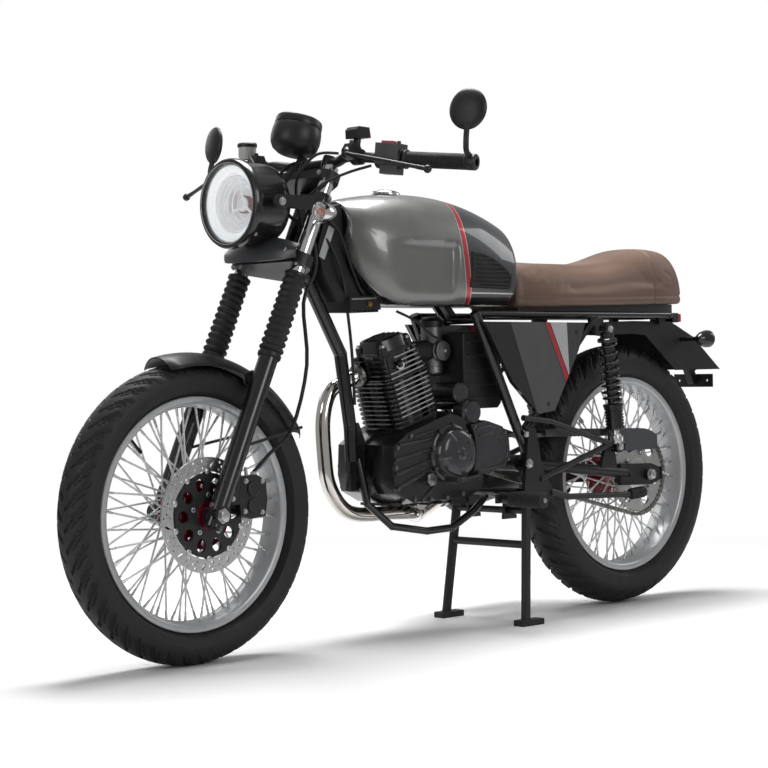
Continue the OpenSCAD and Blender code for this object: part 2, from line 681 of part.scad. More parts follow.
// Tyre: round crown down to its widest point, then the sidewall down to the bead in the rim
function crown(r, w, n) = let (mid = rim_r + 0.42 * (r - rim_r)) [for (k = [0 : n])
    let (a = -90 + 180 * k / n) [mid + (r - mid) * pow(max(0, cos(a)), 0.85), w / 2 * sin(a)]];
module tyre(x, z, r, w, rim_w) {
    seat = rim_w / 2 - 8.3;
    edge = rim_w / 2 - 4.3;
    translate([x, 0, z]) rotate([90, 0, 0]) rotate_extrude($fn = 180) polygon(concat(
        crown(r, w, 20),
        [[rim_r + 0.16 * (r - rim_r), w / 2 - 4], [rim_r + 0.6, edge], [rim_r - 10, seat]],
        [[rim_r - 10, -seat], [rim_r + 0.6, -edge], [rim_r + 0.16 * (r - rim_r), 4 - w / 2]]));
}

module rim(x, z, w) translate([x, 0, z]) rotate([90, 0, 0]) rotate_extrude($fn = 180) polygon([
    [rim_r, w / 2], [rim_r, w / 2 - 4], [rim_r - 10.3, w / 2 - 8], [rim_r - 10.3, 8 - w / 2],
    [rim_r, 4 - w / 2], [rim_r, -w / 2], [rim_r - 18, 2 - w / 2], [rim_r - 22, -8],
    [rim_r - 22, 8], [rim_r - 18, w / 2 - 2]]);

module wheel_spokes(x, z, flange_r, flange_y, seat_y) {
    pairs = spoke_count / 4;
    for (k = [0 : pairs - 1]) for (side = [-1, 1]) for (lean = [-1, 1]) {
        turn = 360 / pairs * (k + (side > 0 ? 0.5 : 0) + (lean > 0 ? 0.06 : -0.06));
        rim_turn = turn + lean * (29 + 90 / pairs);
        y0 = side * (flange_y + lean * 3.2);
        rod([x + flange_r * cos(turn), y0, z + flange_r * sin(turn)],
            [x + (rim_r - 21) * cos(rim_turn), side * (seat_y + lean * 1.9), z + (rim_r - 21) * sin(rim_turn)], spoke_r);
    }
}

front_rim_w = 62;
rear_rim_w = 80;
module front_tyre() color("#161616") bike() tyre(front_x, front_z, front_tyre_r, front_tyre_w, front_rim_w);
module front_rim() color("#b4b6b8") bike() rim(front_x, front_z, front_rim_w);
module front_hub() color("#5e1018") bike() {
    wheel_ring(front_x, front_z, -50, 50, 26, hub_bore_r);
    wheel_ring(front_x, front_z, 30, 38, 52, hub_bore_r);
    wheel_ring(front_x, front_z, -38, -30, 52, hub_bore_r);
    wheel_ring(front_x, front_z, disc_y - disc_t / 2, disc_y + 3, 29.7, hub_bore_r);
    wheel_ring(front_x, front_z, 50, disc_y - disc_t / 2, 36, hub_bore_r);
}
module front_spokes() color("#c6c8ca") bike() wheel_spokes(front_x, front_z, 49, 34, 9);

module rear_tyre() color("#161616") bike() tyre(0, rear_z, rear_tyre_r, rear_tyre_w, rear_rim_w);
module rear_rim() color("#b4b6b8") bike() rim(0, rear_z, rear_rim_w);
module rear_hub() color("#5e1018") bike() {
    wheel_ring(0, rear_z, -58, 58, 34, hub_bore_r);
    wheel_ring(0, rear_z, 36, 44, 62, hub_bore_r);
    wheel_ring(0, rear_z, -44, -36, 62, hub_bore_r);
}
module rear_spokes() color("#c6c8ca") bike() wheel_spokes(0, rear_z, 59, 40, 10);
module rear_sprocket() color("#9a9b9d") bike() {
    wheel_ring(0, rear_z, chain_y - 3, chain_y + 3, sprocket_r, 30);
    wheel_ring(0, rear_z, 44.3, chain_y - 3, 50, 34.3);
}

// ---------- centre stand ----------

module centre_stand() color("#1d1e20") bike() {
    foot_x = stand_pivot_x + 26;
    wheel_ring(stand_pivot_x, stand_pivot_z, -stand_y, stand_y, stand_r - 3);
    both() {
        rod([stand_pivot_x, stand_y, stand_pivot_z + 6], [foot_x, stand_y + 16, 12], stand_r);
        translate([foot_x - 46, stand_y + 2, 0]) cube([72, 30, 14]);
    }
    rod([stand_pivot_x + 8, -stand_y, stand_pivot_z - 78], [stand_pivot_x + 8, stand_y, stand_pivot_z - 78], stand_r - 2);
}

main_frame();
engine_case();
engine_top();
intake();
fuel_tank();
tank_cap();
seat();
side_panels();
exhaust_pipe();
silencer();
swingarm();
shock_absorbers();
rear_fender();
tail_lamp();
rear_indicators();
plate_bracket();
peg_hangers();
footpegs();
chain_guard();
drive_chain();
steering_clamps();
fork_tubes();
fork_gaiters();
fork_legs();
front_fender();
headlamp();
speedometer();
handlebar();
grips();
controls();
mirrors();
front_indicators();
brake_caliper();
brake_hose();
front_tyre();
front_rim();
front_hub();
front_spokes();
brake_disc();
rear_tyre();
rear_rim();
rear_hub();
rear_spokes();
rear_sprocket();
centre_stand();
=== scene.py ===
import json
import math
import bmesh
import bpy
from mathutils import Matrix, Vector
from mathutils.geometry import delaunay_2d_cdt


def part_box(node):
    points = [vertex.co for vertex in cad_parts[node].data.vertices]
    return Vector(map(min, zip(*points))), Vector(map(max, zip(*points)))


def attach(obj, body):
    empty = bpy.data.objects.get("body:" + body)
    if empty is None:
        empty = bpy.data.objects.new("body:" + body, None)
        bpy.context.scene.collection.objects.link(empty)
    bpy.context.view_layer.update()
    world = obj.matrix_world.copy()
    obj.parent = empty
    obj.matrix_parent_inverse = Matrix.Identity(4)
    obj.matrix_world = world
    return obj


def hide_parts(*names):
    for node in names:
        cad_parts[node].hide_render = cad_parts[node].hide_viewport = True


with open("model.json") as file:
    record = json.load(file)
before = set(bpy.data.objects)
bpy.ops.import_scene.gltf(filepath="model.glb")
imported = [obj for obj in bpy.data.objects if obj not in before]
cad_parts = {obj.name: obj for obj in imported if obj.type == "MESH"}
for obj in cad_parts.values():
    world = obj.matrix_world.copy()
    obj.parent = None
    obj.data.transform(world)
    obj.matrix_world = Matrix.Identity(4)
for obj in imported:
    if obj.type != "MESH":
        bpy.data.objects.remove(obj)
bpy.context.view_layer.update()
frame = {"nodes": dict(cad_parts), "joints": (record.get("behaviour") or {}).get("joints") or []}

# ---------------------------------------------------------------- view
# The machine stands in a white studio and is seen from ahead on its left, with a long lens
# held a little below the tank.
scene = bpy.context.scene
UP = Vector((0, 0, 1))


def turn(degrees):
    """Cosine and sine of an angle."""
    return math.cos(math.radians(degrees)), math.sin(math.radians(degrees))


stand_at = Vector((3.2672, 3.2710, 0.6072))
heading, dip, roll = turn(-133.738), turn(0.552), turn(-1.087)
look = Vector((dip[0] * heading[0], dip[0] * heading[1], -dip[1]))
level_right = look.cross(UP).normalized()
level_up = level_right.cross(look)
right = roll[0] * level_right + roll[1] * level_up
over = -roll[1] * level_right + roll[0] * level_up
lens = bpy.data.cameras.new("long_lens")
lens.lens = 94.8
lens.sensor_width = 36
lens.clip_end = 200
camera = bpy.data.objects.new("camera", lens)
camera.matrix_world = Matrix((
    (right.x, over.x, -look.x, stand_at.x),
    (right.y, over.y, -look.y, stand_at.y),
    (right.z, over.z, -look.z, stand_at.z),
    (0, 0, 0, 1)))
scene.collection.objects.link(camera)
scene.camera = camera
scene.view_settings.view_transform = "Standard"


def softbox(name, place, target, wide, high, power):
    """A square lamp with its sizes in metres and its power in watts, turned to a target."""
    lamp = bpy.data.lights.new(name, "AREA")
    lamp.shape = "RECTANGLE"
    lamp.size, lamp.size_y = wide, high
    lamp.energy = power
    box = bpy.data.objects.new(name, lamp)
    box.location = place
    aim = Vector(target) - Vector(place)
    box.rotation_euler = aim.to_track_quat("-Z", "Y").to_euler()
    scene.collection.objects.link(box)


for set_up in (("ceiling_box", (-0.3, -0.45, 3.2), (0, 0, 0), 1.7, 1.5, 104),
               ("left_box", (0.2, 3.8, 1.9), (0, 0, 0.5), 1.5, 1.9, 30),
               ("front_box", (3.9, 0.2, 1.5), (0.4, 0, 0.6), 0.9, 2.0, 23),
               ("rear_box", (-3.6, 1.2, 2.2), (-0.4, 0, 0.6), 1.2, 1.6, 14),
               ("far_box", (-0.4, -3.4, 2.2), (0, 0, 0.6), 2.4, 1.4, 16)):
    softbox(*set_up)

# ---------------------------------------------------------------- studio
# White paper floor that runs out into a white room. Seen straight on the room is white, and so
# it is in chrome and glass, while on the paper the machine keeps its soft shadow.
def node(tree, kind, given=None, **settings):
    """Adds a shader node; every socket given takes a plain value or another node's output."""
    made = tree.nodes.new("ShaderNode" + kind)
    for setting, value in settings.items():
        setattr(made, setting, value)
    for socket, value in (given or {}).items():
        if isinstance(value, bpy.types.NodeSocket):
            tree.links.new(value, made.inputs[socket])
        else:
            made.inputs[socket].default_value = value
    return made


def emptied(holder):
    """Turns the nodes of a world or a material on and clears them away."""
    holder.use_nodes = True
    holder.node_tree.nodes.clear()
    return holder.node_tree


scene.world = bpy.data.worlds.new("white_room")
tree = emptied(scene.world)
seen = node(tree, "LightPath").outputs
first = node(tree, "Math", {0: seen["Is Camera Ray"], 1: seen["Is Glossy Ray"]},
             operation="MAXIMUM")
second = node(tree, "Math", {0: first.outputs[0], 1: seen["Is Transmission Ray"]},
              operation="MAXIMUM")
dim = node(tree, "Background", {"Color": (0.97, 0.985, 1, 1), "Strength": 0.1})
sheen = node(tree, "MapRange", {"Value": seen["Is Glossy Ray"], "To Min": 1, "To Max": 0.3})
bright = node(tree, "Background", {"Color": (1, 1, 1, 1), "Strength": sheen.outputs["Result"]})
choose = node(tree, "MixShader", {"Fac": second.outputs[0], 1: dim.outputs[0],
                                  2: bright.outputs[0]})
node(tree, "OutputWorld", {"Surface": choose.outputs[0]})

paper = bpy.data.materials.new("white_paper")
tree = emptied(paper)
seen = node(tree, "LightPath").outputs
whiter = node(tree, "MapRange", {"Value": seen["Is Camera Ray"], "To Min": 0.86, "To Max": 1.2})
matt = node(tree, "BsdfDiffuse", {"Color": whiter.outputs["Result"]})
far_glow = node(tree, "MapRange", {"Value": seen["Is Camera Ray"], "To Min": 0.3, "To Max": 1})
white = node(tree, "Emission", {"Strength": far_glow.outputs["Result"]})
place = node(tree, "TexCoord").outputs["Object"]
reach = node(tree, "VectorMath", {0: place}, operation="LENGTH").outputs["Value"]
fade = node(tree, "MapRange", {"Value": reach, "From Min": 1.5, "From Max": 2.6})
edge = node(tree, "MixShader", {"Fac": fade.outputs["Result"], 1: matt.outputs[0],
                                2: white.outputs[0]})
node(tree, "OutputMaterial", {"Surface": edge.outputs[0]})
sheet = bpy.data.meshes.new("paper_floor")
sheet.from_pydata([(-30, -30, 0), (30, -30, 0), (30, 30, 0), (-30, 30, 0)], [], [(0, 1, 2, 3)])
floor = bpy.data.objects.new("paper_floor", sheet)
floor.data.materials.append(paper)
scene.collection.objects.link(floor)

# ---------------------------------------------------------------- frame tubes
# Welded steel tube frame in gloss black enamel: backbone, down tube, side tubes and seat rails.
# The tubes stay as they are drawn and get their paint here.
def blank_material(name):
    """A new material, its nodes, its shader, and the place on the piece in its own space."""
    made = bpy.data.materials.new(name)
    made.use_nodes = True
    tree = made.node_tree
    return made, tree, tree.nodes["Principled BSDF"], node(tree, "TexCoord").outputs["Object"]


def grain(tree, coords, scale, detail=4.0):
    """Cloudy grain over the piece; a higher scale is finer."""
    cloud = node(tree, "TexNoise", {"Scale": scale, "Detail": detail, "Vector": coords})
    return cloud.outputs["Fac"]


def shades(tree, value, dark, light, low=0.3, high=0.7):
    """Runs from a dark to a light colour as the value goes from low to high."""
    ramp = node(tree, "ValToRGB", {"Fac": value})
    for stop, place, colour in zip(ramp.color_ramp.elements, (low, high), (dark, light)):
        stop.position = place
        stop.color = (*colour, 1)
    return ramp.outputs["Color"]


def spread(tree, value, low, high):
    """Spreads the middle of a grain over a range of roughness."""
    span = node(tree, "MapRange", {"Value": value, "From Min": 0.3, "From Max": 0.7,
                                   "To Min": low, "To Max": high})
    return span.outputs["Result"]


def relief(tree, shader, height, strength, depth):
    """Gives the surface a fine relief; depth is in metres."""
    bump = node(tree, "Bump", {"Height": height, "Strength": strength, "Distance": depth})
    tree.links.new(bump.outputs["Normal"], shader.inputs["Normal"])


def painted(name, colour, rough, metal=0.0, coat=0.0, fleck=0.12, cloudy=14, orange_peel=420,
            peel=0.08):
    """Sprayed finish: slow clouds in colour and gloss, and the fine peel of sprayed paint."""
    made, tree, shader, coords = blank_material(name)
    slow = grain(tree, coords, cloudy)
    dark = [c * (1 - fleck) for c in colour]
    light = [min(1, c * (1 + fleck)) for c in colour]
    tree.links.new(shades(tree, slow, dark, light), shader.inputs["Base Color"])
    tree.links.new(spread(tree, slow, rough * 0.85, min(1, rough * 1.2)),
                   shader.inputs["Roughness"])
    shader.inputs["Metallic"].default_value = metal
    shader.inputs["Coat Weight"].default_value = coat
    shader.inputs["Coat Roughness"].default_value = 0.06
    relief(tree, shader, grain(tree, coords, orange_peel, 2), peel, 0.0004)
    return made


def repaint(drawn, *finishes):
    """Gives a drawn node its finish in place of the plain one it came with."""
    held = frame["nodes"][drawn]
    held.data.materials.clear()
    for finish in finishes:
        held.data.materials.append(finish)


gloss_black = painted("gloss_black_enamel", (0.009, 0.009, 0.010), 0.22, coat=0.5)
repaint("main_frame", gloss_black)

# ---------------------------------------------------------------- tyres
# Black rubber road tyres on 18 inch rims. Bent drainage grooves run back from the middle of the
# tread to its shoulders, and fine rings are moulded in the sidewalls.
mm = 0.001
hinges = {j["name"]: j for j in frame["joints"]}
rear_axle = Vector(hinges["rear_wheel_spin"]["pos_m"])
front_axle = Vector(hinges["front_wheel_spin"]["pos_m"])


def step(x, y, z):
    """A move given in millimetres."""
    return Vector((x * mm, y * mm, z * mm))


def shape(name, verts, faces, finishes, body, slot, crease=38, marks=None, stands_for=()):
    """Makes one named piece from its corners and faces, and hangs it on its body."""
    mesh = bpy.data.meshes.new(name)
    mesh.from_pydata([tuple(v) for v in verts], [], faces)
    if marks:
        for face, mark in zip(mesh.polygons, marks):
            face.material_index = mark
    build = bmesh.new()
    build.from_mesh(mesh)
    bmesh.ops.recalc_face_normals(build, faces=build.faces)
    build.to_mesh(mesh)
    build.free()
    for finish in finishes if isinstance(finishes, (list, tuple)) else [finishes]:
        mesh.materials.append(finish)
    mesh.shade_smooth()
    mesh.set_sharp_from_angle(angle=math.radians(crease))
    piece = bpy.data.objects.new(name, mesh)
    scene.collection.objects.link(piece)
    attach(piece, body)
    if stands_for:
        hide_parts(*stands_for)
    return piece


def skin(rows, closed_rows=True, closed_ring=True):
    """Corners and faces over rows of equal length; a tube with open ends gets flat caps."""
    n, m = len(rows), len(rows[0])
    faces = []
    for i in range(n if closed_ring else n - 1):
        j = (i + 1) % n
        for k in range(m if closed_rows else m - 1):
            h = (k + 1) % m
            faces.append((i * m + k, i * m + h, j * m + h, j * m + k))
    if closed_rows and not closed_ring:
        faces += [tuple(reversed(range(m))), tuple((n - 1) * m + k for k in range(m))]
    return [corner for row in rows for corner in row], faces


def rubber(name, grit=0.3):
    """Moulded black rubber; grit is how rough its skin is."""
    made, tree, shader, coords = blank_material(name)
    slow = grain(tree, coords, 30)
    tree.links.new(shades(tree, slow, (0.007, 0.007, 0.007), (0.013, 0.013, 0.013)),
                   shader.inputs["Base Color"])
    tree.links.new(spread(tree, slow, 0.5, 0.68), shader.inputs["Roughness"])
    relief(tree, shader, grain(tree, coords, 900, 3), grit, 0.0003)
    return made


tyre_rubber = rubber("tyre_rubber")
rim_radius = 241


def tyre_section(radius, width, seat_width, count):
    """Bead to bead over the tread: (distance from the axle, distance from the centre plane)."""
    middle = rim_radius + 0.42 * (radius - rim_radius)
    points = []
    for k in range(count + 1):
        a = math.pi * (k / count - 0.5)
        points.append((middle + (radius - middle) * max(0, math.cos(a)) ** 0.85,
                       width / 2 * math.sin(a)))
    bead = seat_width / 2 - 4.6
    low = rim_radius + 0.16 * (radius - rim_radius)
    side = [(rim_radius - 6, bead - 2.5), (rim_radius + 1.5, bead), (low, width / 2 - 4.4),
            (low + 6, width / 2 - 2.0)]
    mid_rings = [(low + 11, width / 2 - 1.5), (low + 12.5, width / 2 - 0.9)]
    wall = side + [p for p in mid_rings if p[0] < middle - 1]
    return [(r, -y) for r, y in wall] + points + [(r, y) for r, y in reversed(wall)]


def tyre(name, axle, radius, width, seat_width, body, blocks, skew, stands_for):
    """A tyre with blocks of tread on each side, parted by grooves that lean back by skew."""
    depth = 4.6
    section = tyre_section(radius, width, seat_width, 62)
    around = 900
    rows = []
    for i in range(around):
        a = 2 * math.pi * i / around
        row = []
        for r, y in section:
            across = abs(y) / (width / 2)
            cut = 0
            if r > rim_radius + 0.5 * (radius - rim_radius):
                run = i / around * blocks + skew * across ** 1.35 + (0.5 if y > 0 else 0)
                share = run - math.floor(run)
                if share < 0.22 and 0.07 < across < 0.95:
                    cut = depth
                half = run * 2 + 0.5
                if half - math.floor(half) < 0.2 and 0.45 < across < 0.86:
                    cut = max(cut, depth * 0.7)
            row.append(axle + step((r - cut) * math.cos(a), y, (r - cut) * math.sin(a)))
        rows.append(row)
    shape(name, *skin(rows, closed_rows=False), tyre_rubber, body, "tyre_rubber", crease=30,
          stands_for=stands_for)


tyre("front_tread", front_axle, 309, 96, 62, "front_wheel", 46, -1.5, ["front_tyre"])
tyre("rear_tread", rear_axle, 321, 112, 80, "rear_wheel", 42, 1.3, ["rear_tyre"])

# ---------------------------------------------------------------- rims
# Rolled rims in silver lacquer with a dropped centre and a round lip, laced to the hubs with
# drawn steel wires and nickel plated nipples. A valve stem stands inside each rim.
silver = painted("silver_rim_lacquer", (0.52, 0.53, 0.54), 0.3, metal=0.4, coat=0.3, fleck=0.05,
                 peel=0.05)
nickel = painted("nickel_plate", (0.62, 0.62, 0.62), 0.2, metal=1, fleck=0.05, peel=0.03)
spoke_wire = painted("drawn_spoke_wire", (0.86, 0.87, 0.88), 0.3, metal=0.2, fleck=0.05,
                     peel=0.03)


def spun(axle, profile, count=160, axis=Vector((0, 1, 0))):
    """Turns (radius, height) points in millimetres about an axis through axle."""
    axis = axis.normalized()
    side = axis.orthogonal().normalized()
    third = axis.cross(side)
    rows = []
    for i in range(count):
        a = 2 * math.pi * i / count
        spoke = side * math.cos(a) + third * math.sin(a)
        rows.append([axle + spoke * (r * mm) + axis * (h * mm) for r, h in profile])
    return skin(rows)


def rod(a, b, r0, r1=None, sides=16):
    """A straight bar or cone with flat ends between two points."""
    r1 = r0 if r1 is None else r1
    axis = (b - a).normalized()
    side = axis.orthogonal().normalized()
    third = axis.cross(side)
    rows = []
    for point, r in ((a, r0), (b, r1)):
        angles = [2 * math.pi * k / sides for k in range(sides)]
        rows.append([point + (side * math.cos(t) + third * math.sin(t)) * (r * mm)
                     for t in angles])
    return skin(rows, closed_ring=False)


class Kit:
    """Loose solids gathered into one piece, each with its own finish number."""

    def __init__(self):
        self.verts, self.faces, self.marks = [], [], []

    def add(self, made, mark=0):
        verts, faces = made
        shift = len(self.verts)
        self.verts += list(verts)
        self.faces += [tuple(i + shift for i in f) for f in faces]
        self.marks += [mark] * len(faces)
        return self

    def done(self, name, finishes, body, slot, crease=38, stands_for=(), bevel=0):
        piece = shape(name, self.verts, self.faces, finishes, body, slot, crease, self.marks,
                      stands_for)
        if bevel:
            soften = piece.modifiers.new("soft_edge", "BEVEL")
            soften.width = bevel * mm
            soften.segments = 2
            soften.limit_method = "ANGLE"
            soften.angle_limit = math.radians(40)
        return piece


def spoke_ends(flange_r, flange_y, seat_y):
    """Both ends of every wire as the wheel is laced, each as (radius, angle, y) on the wheel."""
    for k in range(18):
        for side in (-1, 1):
            for lean in (-1, 1):
                turned = 20 * (k + (0.5 if side > 0 else 0) + 0.06 * lean)
                yield ((flange_r, turned, side * (flange_y + lean * 3.2)),
                       (rim_radius - 21, turned + lean * 34, side * (seat_y + lean * 1.9)))


def on_wheel(axle, r, degrees, y=0.0):
    """A point on a wheel or a round cover: radius, angle up from ahead, and y off its middle."""
    c, s = turn(degrees)
    return axle + step(r * c, y, r * s)


def rim(name, axle, width, lacing, body, stands_for):
    """A rim with its nipples, the hooked ends of its wires, and the valve stem."""
    w = width / 2
    lip = [(rim_radius - 1.5, w), (rim_radius, w - 1.5), (rim_radius, w - 3.2),
           (rim_radius - 2, w - 4.2), (rim_radius - 10, w - 8)]
    inner = [(rim_radius - 6, w + 0.2), (rim_radius - 12, w - 0.6), (rim_radius - 16, w - 3),
             (rim_radius - 18, w - 8), (rim_radius - 19, w * 0.55), (rim_radius - 22, w * 0.32),
             (rim_radius - 22.6, 0)]
    half = lip + [(rim_radius - 10.3, 0)]
    profile = list(reversed(inner)) + half
    profile += [(r, -h) for r, h in reversed(half[:-1])] + [(r, -h) for r, h in inner[:-1]]
    kit = Kit().add(spun(axle, profile, 200))
    for hub_end, rim_end in spoke_ends(*lacing):
        a = on_wheel(axle, *hub_end)
        b = on_wheel(axle, *rim_end)
        along = (b - a).normalized()
        kit.add(rod(b - along * 0.020, b - along * 0.002, 2.4, 3.1, 10), 1)
        kit.add(rod(a - along * 0.002, a + along * 0.012, 3.4, 2.0, 10), 1)
    stem = on_wheel(axle, rim_radius - 22, 48, 0)
    inward = (axle - stem).normalized()
    kit.add(rod(stem, stem + inward * 0.034, 4, 3.4, 14), 2)
    kit.add(rod(stem + inward * 0.034, stem + inward * 0.044, 4.6, 4.2, 14), 2)
    kit.done(name, [silver, nickel, tyre_rubber], body, "rim_silver", stands_for=stands_for)


# Each wheel's lacing: the flanges' radius, their place in y, and the place of the rim's holes.
front_lacing, rear_lacing = (49, 34, 9), (59, 40, 10)
rim("front_rim_lacquered", front_axle, 62, front_lacing, "front_wheel", ["front_rim"])
rim("rear_rim_lacquered", rear_axle, 80, rear_lacing, "rear_wheel", ["rear_rim"])
for name, axle, lacing, body, drawn in (
        ("front_wires", front_axle, front_lacing, "front_wheel", "front_spokes"),
        ("rear_wires", rear_axle, rear_lacing, "rear_wheel", "rear_spokes")):
    wires = Kit()
    for hub_end, rim_end in spoke_ends(*lacing):
        wires.add(rod(on_wheel(axle, *hub_end), on_wheel(axle, *rim_end), 2.1, 2.1, 10))
    wires.done(name, spoke_wire, body, "spoke_steel", stands_for=[drawn])

# ---------------------------------------------------------------- hubs
# Cast hubs in dark red enamel. Two thin flanges take the hooked spoke ends, with lightening
# holes between them, and the brake and sprocket seats are faced on the left side.
dark_red = painted("dark_red_enamel", (0.22, 0.008, 0.026), 0.26, metal=0.35, coat=0.6)


def circle(r, count, u=0.0, v=0.0, squash=1.0, spin=0.0):
    """A round or oval outline; squash shortens it across the direction spin."""
    c, s = turn(spin)
    found = []
    for k in range(count):
        p, q = turn(360 * k / count)
        a, b = r * p, r * squash * q
        found.append((u + a * c - b * s, v + a * s + b * c))
    return found


def ring_of_holes(count, ring_r, r, sides, first=0, squash=1.0, lean=0):
    """Round or oval holes spaced evenly on a ring; lean turns an oval from its spoke."""
    holes = []
    for k in range(count):
        degrees = 360 // count * k + first
        c, s = turn(degrees)
        spin = degrees + lean if squash < 1 else 0
        holes.append(circle(r, sides, ring_r * c, ring_r * s, squash, spin))
    return holes


def within(point, outline):
    """Whether a flat point lies inside an outline."""
    inside, last = False, outline[-1]
    for corner in outline:
        if (corner[1] > point[1]) != (last[1] > point[1]):
            cross = (last[0] - corner[0]) * (point[1] - corner[1]) / (last[1] - corner[1])
            if point[0] < corner[0] + cross:
                inside = not inside
        last = corner
    return inside


def pierced(outline, holes, low, high, put):
    """A flat plate with holes through it, between two heights; put places (u, v, height)."""
    loops = [outline] + holes
    snap = 1e-7
    flat, edges = [], []
    for loop in loops:
        n = len(flat)
        flat += [Vector(p) for p in loop]
        edges += [(n + k, n + (k + 1) % len(loop)) for k in range(len(loop))]
    found = delaunay_2d_cdt(flat, edges, [], 0, snap)
    spots, cells = found[0], found[2]
    verts = [put(p[0], p[1], low) for p in spots] + [put(p[0], p[1], high) for p in spots]
    faces = []
    for cell in cells:
        mid = sum((spots[k] for k in cell), Vector((0, 0))) / len(cell)
        if within(mid, outline) and not any(within(mid, hole) for hole in holes):
            faces.append(tuple(cell))
            faces.append(tuple(k + len(spots) for k in reversed(cell)))
    for loop in loops:
        n = len(verts)
        verts += [put(u, v, low) for u, v in loop] + [put(u, v, high) for u, v in loop]
        m = len(loop)
        faces += [(n + k, n + (k + 1) % m, n + m + (k + 1) % m, n + m + k) for k in range(m)]
    return verts, faces


def beside(axle):
    """Places a plate's outline on a wheel: u forward, v up, height to the left."""
    return lambda u, v, h: axle + step(u, h, v)


def hub(name, axle, half, barrel, lacing, body, stands_for, seat=None):
    """A hub with its two flanges; a hub with a brake seat also has the pierced ring behind it."""
    flange_r, flange_y = lacing[:2]
    kit = Kit()
    bore = 7.6
    core = [(bore, -half), (barrel - 3, -half), (barrel, 3 - half), (barrel, 1 - flange_y - 8),
            (barrel - 4, -flange_y + 12), (barrel - 4, flange_y - 12), (barrel, flange_y + 7)]
    core += [(barrel, half - 3), (barrel - 3, half), (bore, half)] if not seat else seat
    kit.add(spun(axle, core, 96))
    for side in (-1, 1):
        middle = side * flange_y
        holes = ring_of_holes(9, flange_r - 14, 4.2, 12)
        kit.add(pierced(circle(flange_r + 3, 108), [circle(barrel - 2, 48)] + holes,
                        middle - 4, middle + 4, beside(axle)))
    if seat:
        kit.add(pierced(circle(70, 108), [circle(34, 48)] + ring_of_holes(20, 58, 4.6, 14),
                        43, 46.4, beside(axle)))
    kit.done(name, dark_red, body, "hub_red", bevel=0.6, stands_for=stands_for)


hub("front_hub_cast", front_axle, 50, 26, front_lacing, "front_wheel", ["front_hub"],
    [(36, 46), (36, 58), (29.7, 59.4), (29.7, 65), (7.6, 65)])
hub("rear_hub_cast", rear_axle, 58, 34, rear_lacing, "rear_wheel", ["rear_hub"])

# ---------------------------------------------------------------- front brake disc
# A drilled and slotted friction ring of turned stainless steel floats on a black carrier with
# ten oval windows, held by steel buttons. The carrier bolts to the hub.
def turned_steel(name, colour, rough, axle):
    """Bright steel with the fine rings of a lathe tool round an axle."""
    made, tree, shader, coords = blank_material(name)
    centred = node(tree, "VectorMath", {0: coords, 1: axle}, operation="SUBTRACT")
    flat = node(tree, "VectorMath", {0: centred.outputs[0], 1: (1, 0, 1)}, operation="MULTIPLY")
    size = node(tree, "VectorMath", {0: flat.outputs[0]}, operation="LENGTH")
    rings = grain(tree, size.outputs["Value"], 1400, 3)
    tree.links.new(shades(tree, rings, [c * 0.8 for c in colour], colour),
                   shader.inputs["Base Color"])
    tree.links.new(spread(tree, rings, rough * 0.7, rough * 1.3), shader.inputs["Roughness"])
    shader.inputs["Metallic"].default_value = 1
    relief(tree, shader, rings, 0.2, 0.0002)
    return made


satin_black = painted("satin_black_paint", (0.010, 0.010, 0.011), 0.42, peel=0.14)
disc_steel = turned_steel("turned_disc_steel", (0.62, 0.62, 0.63), 0.28, front_axle)
holes = []
for k in range(30):
    for r, shift in ((96, 0), (104, 4), (111, 0)):
        if k % 3 != 2:
            c, s = turn(12 * k + shift)
            holes.append(circle(3.4, 10, r * c, r * s))
holes += ring_of_holes(10, 103.5, 9, 14, 25, 0.3, 30)
ring_r, ring_bore, ring_low, ring_high = 118, 89, 59.5, 64.5
kit = Kit().add(pierced(circle(ring_r, 144), [circle(ring_bore, 120)] + holes, ring_low, ring_high,
                        beside(front_axle)))
windows = ring_of_holes(10, 64, 14, 20, 0, 0.84)
bolts = ring_of_holes(5, 41, 3.2, 10, 18)
rim_of_carrier = []
for k in range(180):
    r = 86 + 5 * max(0, math.cos(math.radians(20 * k + 180))) ** 2
    rim_of_carrier.append((r * turn(2 * k)[0], r * turn(2 * k)[1]))
kit.add(pierced(rim_of_carrier, [circle(30.5, 64)] + windows + bolts, 60.2, 66.5,
                beside(front_axle)), 1)
for k in range(10):
    spot = on_wheel(front_axle, 88.5, 36 * k + 18)
    kit.add(spun(spot, [(0.1, 58), (5.6, 58), (6.4, 59), (6.4, 66.4), (5.4, 67), (0.1, 67)], 20), 0)
for k in range(5):
    spot = on_wheel(front_axle, 41, 72 * k + 18)
    kit.add(spun(spot, [(2.4, 66), (6, 66), (6, 68), (5.2, 68.6), (2.4, 68.6)], 6), 0)
kit.done("brake_disc_floating", [disc_steel, satin_black], "front_wheel", "disc_steel", bevel=0.3,
         stands_for=["brake_disc"])

# ---------------------------------------------------------------- brake caliper
# A two piston sliding caliper of cast alloy painted black. It hangs on a lug of the left fork
# leg and straddles the disc, with a bleed nipple and the hose union on top.
steel = painted("zinc_plated_steel", (0.55, 0.55, 0.54), 0.3, metal=1, fleck=0.1, peel=0.05)


def at(x, y, z):
    """A point given in millimetres, with x counted forward from the rear axle."""
    return Vector((rear_axle.x + x * mm, y * mm, z * mm))


def block(near, far):
    """A solid between two outlines of equal length."""
    n = len(near)
    faces = [tuple(range(n)), tuple(reversed(range(n, 2 * n)))]
    return near + far, faces + [(k, (k + 1) % n, n + (k + 1) % n, n + k) for k in range(n)]


def slab(outline, near, far):
    """A block with a flat outline in x and z (millimetres), between two places in y."""
    return block([at(x, near, z) for x, z in outline], [at(x, far, z) for x, z in outline])


